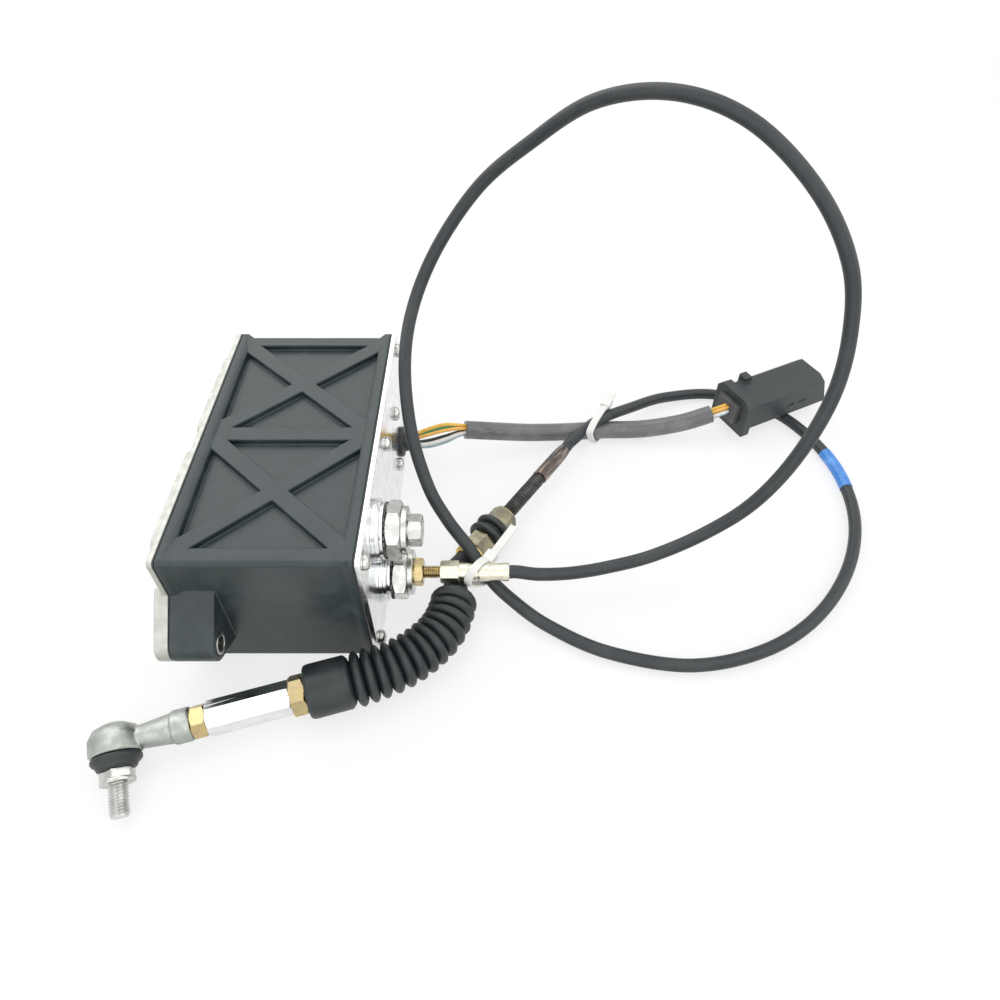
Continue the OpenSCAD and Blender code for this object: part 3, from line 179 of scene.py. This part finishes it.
def metalFinish(name, look):
    finish = Finish(bpy.data.materials.new(name))
    place = finish.place()
    blotch = finish.ease(finish.noise(place, 0.22, 4), 0.35, 0.65)
    scratch = finish.noise(finish.place((0.4, 3.0, 3.0)), 1.6, 4)
    grain = finish.noise(place, 1.9, 5)
    return finish.close({
        "Base Color": finish.mix(blotch, look["main"], look["other"]),
        "Roughness": look["rough"] + 0.10 * blotch + 0.12 * (scratch - 0.5),
        "Metallic": 1.0,
        "Normal": finish.bump(grain, look["grain"] / 1000)})


# Paint, rubber and plastics: a dusty second colour, a mottled gloss and a surface grain
coats = {
    "cast_dark": {"main": (0.016, 0.027, 0.029), "other": (0.036, 0.050, 0.051), "rough": 0.38, "grain": 0.05,
                  "size": 1.1},
    "gasket_rubber": {"main": (0.03, 0.03, 0.03), "other": (0.05, 0.05, 0.05), "rough": 0.6, "grain": 0.02,
                      "size": 1.5},
    "black_rubber": {"main": (0.014, 0.018, 0.020), "other": (0.029, 0.034, 0.036), "rough": 0.42,
                     "grain": 0.02, "size": 0.9},
    "black_pvc": {"main": (0.018, 0.023, 0.026), "other": (0.036, 0.041, 0.043), "rough": 0.42, "grain": 0.02,
                  "size": 1.6},
    "black_plastic": {"main": (0.026, 0.032, 0.034), "other": (0.038, 0.044, 0.046), "rough": 0.44,
                      "grain": 0.012, "size": 3.0},
    "seal_rubber": {"main": (0.07, 0.07, 0.075), "other": (0.10, 0.10, 0.10), "rough": 0.5, "grain": 0.02,
                    "size": 1.4},
    "wedge_plastic": {"main": (0.55, 0.20, 0.04), "other": (0.48, 0.17, 0.04), "rough": 0.45, "grain": 0.01,
                      "size": 2.0},
    "blue_tape": {"main": (0.035, 0.20, 0.60), "other": (0.15, 0.38, 0.82), "rough": 0.26, "grain": 0.03,
                  "size": 0.5},
    "white_nylon": {"main": (0.80, 0.80, 0.77), "other": (0.74, 0.74, 0.71), "rough": 0.38, "grain": 0.01,
                    "size": 1.2},
    "sensor_plastic": {"main": (0.02, 0.06, 0.16), "other": (0.03, 0.08, 0.19), "rough": 0.45, "grain": 0.01,
                       "size": 2.0},
    "wire_insulation": {"main": (0.70, 0.40, 0.03), "other": (0.76, 0.47, 0.06), "rough": 0.36, "grain": 0.01,
                        "size": 1.0},
}


def coatFinish(name, look):
    finish = Finish(bpy.data.materials.new(name))
    place = finish.place()
    dust = finish.ease(finish.noise(place, 0.09, 5), 0.42, 0.70)
    mottle = finish.noise(place, 0.5, 4)
    grain = finish.noise(place, look["size"], 4)
    return finish.close({
        "Base Color": finish.mix(0.75 * dust + 0.25 * mottle, look["main"], look["other"]),
        "Roughness": look["rough"] + 0.14 * (mottle - 0.5) + 0.08 * dust,
        "Normal": finish.bump(grain, look["grain"] / 1000)})


# Shrink tube: dark brown, with pale streaks along the hub that are partly rubbed wear and partly a painted
# highlight along its length
shrinkLook = {"dark": (0.028, 0.026, 0.025), "brown": (0.080, 0.052, 0.038), "rubbedAndHighlight": (0.42, 0.36, 0.31),
              "heading": 124}


def shrinkFinish(name, look):
    finish = Finish(bpy.data.materials.new(name))
    place = finish.place()
    turn = (0, 0, math.radians(look["heading"]))
    along = finish.add("ShaderNodeMapping", {}, {"Vector": place, "Rotation": turn})
    drawn = finish.add("ShaderNodeVectorMath", {"operation": "MULTIPLY"}, {0: along, 1: (0.10, 1, 1)})
    streak = finish.noise(drawn, 0.7, 4)
    # pale streak mask: partly rubbed wear, partly a painted highlight along the tube
    rubbedAndHighlight = finish.ease(streak, 0.50, 0.64)
    brown = finish.ease(finish.noise(place, 0.12, 3), 0.4, 0.6)
    tube = finish.mix(brown, look["dark"], look["brown"])
    return finish.close({
        # the pale streak colour is partly wear and partly a painted highlight
        "Base Color": finish.mix(0.6 * rubbedAndHighlight, tube, look["rubbedAndHighlight"]),
        "Roughness": 0.24 + 0.12 * rubbedAndHighlight,
        "Normal": finish.bump(streak, 0.00012)})


# Grey sleeve: smooth, with creases near the case that end between two places along X, in millimetres
sleeveLook = {"main": (0.135, 0.135, 0.140), "other": (0.185, 0.185, 0.190), "rough": 0.24,
              "creases": (88, 104)}


def sleeveFinish(name, look):
    finish = Finish(bpy.data.materials.new(name))
    place = finish.place()
    across = finish.add("ShaderNodeSeparateXYZ", {}, {0: place}, "X")
    creased = 1 - finish.ease(across, *look["creases"])
    dust = finish.ease(finish.noise(place, 0.09, 5), 0.42, 0.70)
    fold = finish.noise(finish.place((0.5, 1, 1)), 0.16, 1)
    return finish.close({
        "Base Color": finish.mix(dust, look["main"], look["other"]),
        "Roughness": look["rough"] + 0.10 * dust,
        "Normal": finish.bump(creased * fold, 0.006)})


finishes = {name: metalFinish(name, look) for name, look in metals.items()}
finishes.update({name: coatFinish(name, look) for name, look in coats.items()})
finishes["shrink_tube"] = shrinkFinish("shrink_tube", shrinkLook)
finishes["grey_pvc"] = sleeveFinish("grey_pvc", sleeveLook)
print("materials:", len(finishes))


# Floor, backdrop light and lamps: the floor is mostly plain white to the camera, and all white far away
floorLook = {"size": 4, "middle": (0.1, 0, 0), "below": 0.0002, "white": 0.72, "near": 0.4, "far": 1.1}
skyLook = {"lighting": 0.55, "seen": 1.0}


def floorFinish(look):
    finish = Finish(bpy.data.materials.new("paleFloor"))
    cloud = finish.noise(finish.place((0.02, 0.02, 0.02)), 1.0, 2)
    matte = finish.add("ShaderNodeBsdfPrincipled", {}, {
        "Base Color": finish.mix(cloud, (0.92, 0.92, 0.92), (0.90, 0.90, 0.90)), "Roughness": 0.9,
        "Specular IOR Level": 0.0})
    plain = finish.add("ShaderNodeEmission", {}, {"Color": (1, 1, 1, 1), "Strength": 1.0})
    spot = finish.add("ShaderNodeTexCoord", {}, {}, "Object")
    away = finish.add("ShaderNodeVectorMath", {"operation": "DISTANCE"}, {0: spot, 1: look["middle"]}, "Value")
    share = look["white"] + (1 - look["white"]) * finish.ease(away, look["near"], look["far"])
    both = finish.add("ShaderNodeMixShader", {}, {0: share * finish.direct(), 1: matte, 2: plain})
    finish.add("ShaderNodeOutputMaterial", {}, {"Surface": both})
    return finish.owner


floorShape = bmesh.new()
floorPlace = Vector((*floorLook["middle"][:2], cadLow.z - floorLook["below"]))
bmesh.ops.create_grid(floorShape, x_segments=1, y_segments=1, size=floorLook["size"],
                      matrix=Matrix.Translation(floorPlace))
floorMesh = bpy.data.meshes.new("paleFloor")
floorShape.to_mesh(floorMesh)
floorShape.free()
floorMesh.materials.append(floorFinish(floorLook))
floor = bpy.data.objects.new("paleFloor", floorMesh)
bpy.context.scene.collection.objects.link(floor)

world = bpy.data.worlds.new("studio")
bpy.context.scene.world = world
sky = Finish(world)
dim, full = (sky.add("ShaderNodeBackground", {}, {"Color": (1, 1, 1, 1), "Strength": strength})
             for strength in (skyLook["lighting"], skyLook["seen"]))
sky.add("ShaderNodeOutputWorld", {}, {
    "Surface": sky.add("ShaderNodeMixShader", {}, {0: sky.direct(), 1: dim, 2: full})})

lamps = {
    "keyLamp": {"place": (-0.40, 0.55, 1.10), "size": 1.6, "power": 11},
    "fillLamp": {"place": (1.00, -0.15, 0.85), "size": 1.5, "power": 6},
    "frontLamp": {"place": (-0.10, -1.10, 0.70), "size": 1.8, "power": 8},
}
lampTarget = Vector((0.1, 0, 0.03))
for name, lamp in lamps.items():
    lampData = bpy.data.lights.new(name, "AREA")
    lampData.size = lamp["size"]
    lampData.energy = lamp["power"]
    lampObject = bpy.data.objects.new(name, lampData)
    lampObject.location = lamp["place"]
    sight = lampTarget - Vector(lamp["place"])
    lampObject.rotation_euler = sight.to_track_quat("-Z", "Y").to_euler()
    bpy.context.scene.collection.objects.link(lampObject)
print("camera, floor and lamps set")


# Routes, in millimetres as measured, given back in metres
def metres(points):
    return [Vector(point) / 1000 for point in points]


# The straight lines of the hub and of the link rod: a start, and a heading in degrees
hubLine = {"start": (121, 29.5, 10), "heading": -124}
linkLine = {"start": (16, -103, 12.5), "heading": -163}


def onLine(line, distance):
    x, y, z = line["start"]
    turn = math.radians(line["heading"])
    return (x + distance * math.cos(turn), y + distance * math.sin(turn), z)


def onHub(distance):
    return onLine(hubLine, distance)


def onLink(distance):
    return onLine(linkLine, distance)


def curveThrough(name, route, radius, resolution=10):
    curve = bpy.data.curves.new(name, "CURVE")
    curve.dimensions = "3D"
    curve.resolution_u = resolution
    curve.bevel_depth = 1    # the points' radii give the thickness, so that the box is measured right
    curve.bevel_resolution = 7
    curve.use_fill_caps = True
    spline = curve.splines.new("BEZIER")
    spline.bezier_points.add(len(route) - 1)
    for index, knot in enumerate(spline.bezier_points):
        bend = (route[min(index + 1, len(route) - 1)] - route[max(index - 1, 0)]) / 6
        knot.handle_left_type = knot.handle_right_type = "FREE"
        knot.co = route[index]
        knot.radius = radius
        knot.handle_left = route[index] - bend
        knot.handle_right = route[index] + bend
    piece = bpy.data.objects.new(name, curve)
    bpy.context.scene.collection.objects.link(piece)
    return piece


def lengthOf(piece):
    return sum(spline.calc_length() for spline in piece.data.splines)


def settle(piece, body, slotName, *replaced):
    piece.data.materials.clear()
    piece.data.materials.append(finishes[slotName])
    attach(piece, body)
    if replaced:
        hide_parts(*replaced)
    return piece


# Cord diameters, in metres
thickness = {"cable": 0.0064, "sleeve": 0.0105, "wire": 0.002}

# Control cable, from the ferrule round both loops to the hub
cableRoute = metres([
    (103.5, -45, 22), (107.5, -45, 22), (118, -45.4, 20.6), (134, -42.8, 18.2), (151.8, -39, 17.9),
    (173.2, -35.1, 21.8), (196.7, -31.1, 33.7), (216.2, -28.4, 52.5), (230.9, -22.8, 77.1),
    (242.3, -11.1, 102.8), (245.7, 2.4, 126.3), (239.9, 12.3, 151.4), (223, 25.4, 175.5),
    (196.6, 42.4, 194.6), (167.8, 57.8, 199.9), (138.5, 73, 191.1), (112.7, 85.3, 169.4),
    (89.1, 89.5, 147.5), (68.1, 83.1, 120), (55.2, 66.6, 96.6), (51.5, 41.1, 80.1), (54.8, 14.7, 59.7),
    (63.2, -5.5, 40.5), (72.9, -18.5, 29.6), (84, -30, 21), (93, -41, 13.5), (104, -51, 8.5),
    (122, -64, 4.5), (150, -78, 3.4), (188.2, -84.8, 3.4), (225.8, -75.8, 3.4), (256.6, -54.8, 3.4),
    (280.6, -23.1, 3.4), (292.9, 13.3, 3.4), (290.9, 53, 3.4), (272, 90, 3.4), (238, 109, 3.4),
    (204, 105, 5), (178, 88, 10.6), (156, 70, 16), onHub(-35), onHub(-31), onHub(-27)])
controlCable = curveThrough("controlCable", cableRoute, thickness["cable"] / 2)
settle(controlCable, "base", "black_pvc", "cable_conduit")
print("control cable", round(lengthOf(controlCable), 4), "m")

# Harness: six wires from the grommet through the sleeve to the connector
sleeveRoute = [(79, 58, 20), (96, 61, 16.2), (116, 66, 10.6), (138, 70.5, 7), (160, 72.5, 6.7), (184, 73, 7),
               (207, 75, 10), (225, 78, 14.6)]
harnessSleeve = curveThrough("harnessSleeve", metres(sleeveRoute), thickness["sleeve"] / 2)
settle(harnessSleeve, "base", "grey_pvc", "harness_sleeve")
wireTones = {
    "greenWire": ((0.05, 0.28, 0.10), (0.09, 0.33, 0.14)),
    "yellowWire": ((0.80, 0.47, 0.05), (0.84, 0.56, 0.13)),
    "orangeWire": ((0.80, 0.40, 0.06), (0.84, 0.50, 0.14)),
    "whiteWire": ((0.82, 0.82, 0.79), (0.74, 0.74, 0.72)),
    "blueWire": ((0.34, 0.47, 0.52), (0.42, 0.54, 0.58)),
    "blackWire": ((0.020, 0.020, 0.022), (0.04, 0.04, 0.04)),
}
plug = {"start": (236, 80, 18), "heading": 26.5, "seal": 3}
plugTurn = math.radians(plug["heading"])
plugAxis = Vector((math.cos(plugTurn), math.sin(plugTurn), 0))
plugBack = Vector(plug["start"]) - plug["seal"] * plugAxis

# The wires lie in a ring round one middle line, which swells between the grommet and the sleeve
wireStart = [(47, 48, 20), (58, 50.5, 20.6), (68, 54.5, 20.6)]
wireEnd = [tuple(plugBack - 2 * plugAxis), tuple(plugBack + 1 * plugAxis)]
wireMiddle = [*wireStart, *sleeveRoute, *wireEnd]
wireRing = [2.5, 5.0, 5.0] + [2.4] * (len(wireMiddle) - len(wireStart))
for index, (name, tones) in enumerate(wireTones.items()):
    turn = math.radians(60 * index)
    outward = Vector((0, math.cos(turn), math.sin(turn)))
    route = [Vector(point) + ring * outward for point, ring in zip(wireMiddle, wireRing)]
    wire = curveThrough(name, metres(route), thickness["wire"] / 2, 6)
    settle(wire, "base", "wire_insulation", *(["harness_wires"] if index == 0 else []))
    wire.data.materials.clear()
    wire.data.materials.append(coatFinish(name, dict(coats["wire_insulation"], main=tones[0], other=tones[1])))


# Copies of the carried-over shapes with softened edges, where both faces at an edge are large enough
def softened(node, width, steps, least):
    shape = bmesh.new()
    shape.from_mesh(nodes[node].data)
    bmesh.ops.remove_doubles(shape, verts=shape.verts, dist=0.000002)
    bmesh.ops.dissolve_limit(shape, angle_limit=math.radians(0.4), verts=shape.verts, edges=shape.edges)
    crisp = [edge for edge in shape.edges
             if len(edge.link_faces) == 2 and edge.calc_face_angle(0) > math.radians(42)
             and min(face.calc_area() for face in edge.link_faces) > least / 1e6]
    bmesh.ops.bevel(shape, geom=crisp, offset=width / 1000, offset_type="OFFSET", segments=steps,
                    profile=0.5, affect="EDGES", clamp_overlap=False, material=-1)
    bmesh.ops.recalc_face_normals(shape, faces=shape.faces)
    return shape


def keep(shape, name, angle=40):
    mesh = bpy.data.meshes.new(name)
    shape.to_mesh(mesh)
    shape.free()
    mesh.shade_smooth()
    mesh.set_sharp_from_angle(angle=math.radians(angle))
    piece = bpy.data.objects.new(name, mesh)
    bpy.context.scene.collection.objects.link(piece)
    return piece


# For each node: the piece's name, the rounding's width and steps, and the least face area, in millimetres
softEdges = {
    "housing": ("caseCasting", 0.6, 3, 0.3), "side_cover": ("sideCover", 0.6, 3, 0.3),
    "face_plate": ("facePlate", 0.35, 2, 0.1), "cover_screws": ("coverScrews", 0.2, 2, 0.02),
    "plate_screws": ("plateScrews", 0.2, 2, 0.02), "frame_screws": ("frameScrews", 0.2, 2, 0.02),
    "lug_bushings": ("lugBushings", 0.3, 2, 0.05), "port_bushes": ("portBushes", 0.2, 2, 0.05),
    "port_washers": ("portWashers", 0.25, 2, 0.05), "tooth_washers": ("toothWashers", 0.12, 1, 0.02),
    "port_nuts": ("portNuts", 0.3, 2, 0.05), "seal_washers": ("sealWashers", 0.3, 2, 0.05),
    "plug_bolt": ("plugBolt", 0.3, 2, 0.05), "jam_nut": ("jamNut", 0.25, 2, 0.05),
    "cable_ferrule": ("cableFerrule", 0.2, 2, 0.05), "wire_grommet": ("wireGrommet", 0.3, 2, 0.05),
    "connector_body": ("connectorBody", 0.4, 2, 0.1), "connector_seal": ("connectorSeal", 0.4, 2, 0.1),
    "connector_wedge": ("connectorWedge", 0.25, 2, 0.05), "connector_pins": ("connectorPins", 0.2, 2, 0.02),
    "end_sleeve": ("endSleeve", 0.3, 2, 0.05), "hub_nuts": ("hubNuts", 0.3, 2, 0.05),
    "hub_grommet": ("hubGrommet", 0.4, 3, 0.05), "hub_collar": ("hubCollar", 0.25, 2, 0.05),
    "inner_locknut": ("innerLocknut", 0.3, 2, 0.05), "link_rod": ("linkRod", 0.4, 2, 0.05),
    "outer_locknut": ("outerLocknut", 0.3, 2, 0.05), "rod_end": ("rodEnd", 0.5, 3, 0.05),
    "ferrule_tie": ("ferruleTie", 0.25, 2, 0.05), "harness_tie": ("harnessTie", 0.25, 2, 0.05),
}
for node, (name, width, steps, least) in softEdges.items():
    piece = keep(softened(node, width, steps, least), name)
    weigh = piece.modifiers.new("faceWeight", "WEIGHTED_NORMAL")
    weigh.keep_sharp = True
    settle(piece, bodyOf[node], slotOf[node], node)


# Threads: a closed coil with a three-cornered section, wound on a plain core along Z, in millimetres
def addRod(shape, bottom, top, radius, sides=40):
    bmesh.ops.create_cone(shape, cap_ends=True, segments=sides, radius1=radius, radius2=radius,
                          depth=top - bottom, matrix=Matrix.Translation((0, 0, (top + bottom) / 2)))


def addThread(shape, bottom, top, radius, pitch):
    depth = 0.55 * pitch
    perTurn = 20
    count = int((top - bottom - pitch) / pitch * perTurn)
    corners = [shape.verts.new(corner) for corner in (
        (radius - depth, 0, bottom + 0.04 * pitch), (radius, 0, bottom + 0.5 * pitch),
        (radius - depth, 0, bottom + 0.96 * pitch))]
    section = shape.faces.new(corners)
    bmesh.ops.spin(shape, geom=[section, *section.edges, *section.verts], cent=(0, 0, 0), axis=(0, 0, 1),
                   dvec=(0, 0, pitch / perTurn), angle=math.tau * count / perTurn, steps=count)
    addRod(shape, bottom, top, radius - 0.92 * depth)


def aim(shape, start, direction):
    bmesh.ops.recalc_face_normals(shape, faces=shape.faces)
    turn = Vector(direction).to_track_quat("Z", "Y").to_matrix().to_4x4()
    bmesh.ops.transform(shape, verts=shape.verts,
                        matrix=Matrix.Scale(0.001, 4) @ Matrix.Translation(start) @ turn)
    return shape


threads = {
    "end_hub": {"name": "hubThread", "start": onHub(0), "axis": Vector(onHub(1)) - Vector(onHub(0)),
                "length": 64, "radius": 4.0, "pitch": 2.0},
    "cable_end_tube": {"name": "tubeThread", "start": (36, -45, 22), "axis": (1, 0, 0),
                       "length": 34.5, "radius": 3.15, "pitch": 1.0},
}
for node, look in threads.items():
    thread = bmesh.new()
    addThread(thread, 0, look["length"], look["radius"], look["pitch"])
    piece = keep(aim(thread, look["start"], look["axis"]), look["name"], 30)
    settle(piece, "base", slotOf[node], node)

# Ball stud: ball, neck, hexagon, flange and thread along its own axis
studSizes = {"ball": 6.5, "neck": 3.2, "flange": (14.8, 16.4, 6.9), "hexagon": (11.2, 14.8, 12),
             "thread": (16.4, 29.4, 4.0, 1.25), "rounding": 0.3, "onLink": 80}
ballMiddle = Vector(onLink(studSizes["onLink"]))
studAxis = Vector((0.282409, -0.923719, -0.258819))
stud = bmesh.new()
bmesh.ops.create_uvsphere(stud, u_segments=32, v_segments=20, radius=studSizes["ball"])
addRod(stud, 0, studSizes["hexagon"][0], studSizes["neck"])
addRod(stud, *studSizes["flange"])
hexLow, hexHigh, hexFlats = studSizes["hexagon"]
addRod(stud, hexLow, hexHigh, hexFlats / 2 / math.cos(math.pi / 6), 6)
rims = [edge for edge in stud.edges if edge.calc_face_angle(0) > 1
        and min(vert.co.z for vert in edge.verts) > studSizes["hexagon"][0] - 0.01]
bmesh.ops.bevel(stud, geom=rims, offset=studSizes["rounding"], segments=2, profile=0.5, affect="EDGES",
                clamp_overlap=True, material=-1)
addThread(stud, *studSizes["thread"])
ballStud = keep(aim(stud, ballMiddle, studAxis), "ballStud", 30)
settle(ballStud, "stud", "zinc_steel", "ball_stud")

# Rubber boot on the ball stud: a turned outline that follows both the rod end and the stud
bootOutline = [(3.4, 11.0), (6.4, 11.1), (7.5, 10.6), (8.0, 9.7), (8.3, 8.8), (9.3, 8.2), (9.9, 7.3),
               (9.95, 6.3), (9.5, 5.5), (8.4, 5.35), (7.6, 6.2), (7.2, 8.6), (6.2, 9.9), (3.4, 9.9)]
boot = bmesh.new()
ring = [boot.verts.new((radius, 0, height)) for radius, height in bootOutline]
outline = [boot.edges.new((ring[index - 1], ring[index])) for index in range(len(ring))]
bmesh.ops.spin(boot, geom=ring + outline, cent=(0, 0, 0), axis=(0, 0, 1), dvec=(0, 0, 0), angle=math.tau,
               steps=48, use_merge=True)
bmesh.ops.remove_doubles(boot, verts=boot.verts, dist=0.001)
studBoot = keep(aim(boot, ballMiddle, studAxis), "studBoot", 60)
studBoot.data.materials.append(finishes["black_rubber"])
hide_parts("stud_boot")
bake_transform(studBoot)
print("threads, ball stud and boot")


# Bellows: one radius for each place along the route, with rounded folds and a smooth cuff
def alongRoute(route, place):
    index = min(int(place), len(route) - 2)
    a, b, c, d = (route[max(0, min(len(route) - 1, index + step))] for step in (-1, 0, 1, 2))
    t = place - index
    return 0.5 * (2 * b + (c - a) * t + (2 * a - 5 * b + 4 * c - d) * t ** 2 + (3 * b - a - 3 * c + d) * t ** 3)


bellowsRoute = metres([
    onHub(70.4), onHub(74), onHub(78), (77.2, -42, 10), (77.2, -49, 10.2), (76.8, -56, 12.5),
    (74.9, -64.8, 12.6), (71.2, -73, 12.6), (65.5, -80, 12.6), (58.7, -86, 12.6), (51, -90.8, 12.6),
    (42.7, -94.4, 12.6), onLink(-19), onLink(-9.5), onLink(0), onLink(1.5)])
# Radii in millimetres, places counted along the route's points
bellowsLook = {"neck": 6.0, "fold": 12.5, "depth": 4.0, "folds": 13, "from": 4.75, "to": 12.0, "cuff": 12.0,
               "rise": 0.25, "turnIn": 13.8, "mouth": 6.6, "end": 15}
coreLook = {"radius": 1.5, "to": 12}


def bellowsRadius(place):
    look = bellowsLook
    groove = look["fold"] - look["depth"]
    if place < look["from"]:
        return look["neck"] + (groove - look["neck"]) * max(0, place - look["from"] + 0.5) * 2
    if place <= look["to"]:
        share = (place - look["from"]) / (look["to"] - look["from"])
        lobe = abs(math.sin(math.pi * look["folds"] * share)) ** 0.6
        return (look["fold"] - look["depth"] * (1 - lobe)) * (0.90 + 0.10 * share)
    if place < look["to"] + look["rise"]:
        return groove + (look["cuff"] - groove) * ((place - look["to"]) / look["rise"]) ** 0.5
    if place <= look["turnIn"]:
        return look["cuff"]
    share = (place - look["turnIn"]) / (look["end"] - look["turnIn"])
    return look["cuff"] - (look["cuff"] - look["mouth"]) * share ** 2


def curveWithRadii(name, route, places, radiusAt):
    curve = bpy.data.curves.new(name, "CURVE")
    curve.dimensions = "3D"
    curve.bevel_depth = 0.001
    curve.bevel_resolution = 8
    curve.use_fill_caps = True
    spline = curve.splines.new("POLY")
    spline.points.add(len(places) - 1)
    for point, place in zip(spline.points, places):
        point.co = (*alongRoute(route, place), 1)
        point.radius = radiusAt(place)
    drawn = bpy.data.objects.new(name + "Line", curve)
    bpy.context.scene.collection.objects.link(drawn)
    bpy.context.view_layer.update()
    mesh = bpy.data.meshes.new_from_object(drawn.evaluated_get(bpy.context.evaluated_depsgraph_get()))
    bpy.data.objects.remove(drawn)
    shape = bmesh.new()
    shape.from_mesh(mesh)
    bmesh.ops.remove_doubles(shape, verts=shape.verts, dist=0.000001)
    bmesh.ops.recalc_face_normals(shape, faces=shape.faces)
    return shape


def coreRadius(place):
    return coreLook["radius"]


# Places are dense where the radius changes: at the flare, on the folds and at the cuff's two ends
foldStart, foldEnd = bellowsLook["from"], bellowsLook["to"]
foldSteps = 16 * bellowsLook["folds"]
neckPlaces = [index * 0.25 for index in range(17)]
flarePlaces = [foldStart - 0.6 + 0.1 * index for index in range(6)]
foldPlaces = [foldStart + (foldEnd - foldStart) * index / foldSteps for index in range(foldSteps + 1)]
cuffPlaces = [foldEnd + 0.05 * index for index in range(1, 6)] + [12.5, 13, 13.5, 13.8]
mouthPlaces = [14, 14.2, 14.4, 14.6, 14.8, bellowsLook["end"]]
bellowsPlaces = neckPlaces + flarePlaces + foldPlaces + cuffPlaces + mouthPlaces
corePlaces = [index * 0.25 for index in range(4 * coreLook["to"] + 1)]
bellowsShape = curveWithRadii("bellowsSleeve", bellowsRoute, bellowsPlaces, bellowsRadius)
bellowsSleeve = keep(bellowsShape, "bellowsSleeve", 70)
coreWire = keep(curveWithRadii("coreWire", bellowsRoute, corePlaces, coreRadius), "coreWire", 60)
for piece, node in ((bellowsSleeve, "bellows"), (coreWire, "end_core_wire")):
    slotName = slotOf[node]
    piece.data.materials.clear()
    piece.data.materials.append(finishes[slotName])
    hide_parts(node)
    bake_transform(piece)

# Tape band on the cable, from one place along its route to another
tapeLook = {"from": 33.36, "step": 0.12, "points": 7, "radius": 0.0035}
tapeRoute = [alongRoute(cableRoute, tapeLook["from"] + tapeLook["step"] * index)
             for index in range(tapeLook["points"])]
tapeBand = curveThrough("tapeBand", tapeRoute, tapeLook["radius"])
settle(tapeBand, "base", "blue_tape", "tape_band")
print("bellows and tape")

# Carried-over shapes inside the case keep their form and get their finish
for node, piece in nodes.items():
    piece.data.materials.clear()
    piece.data.materials.append(finishes[slotOf[node]])
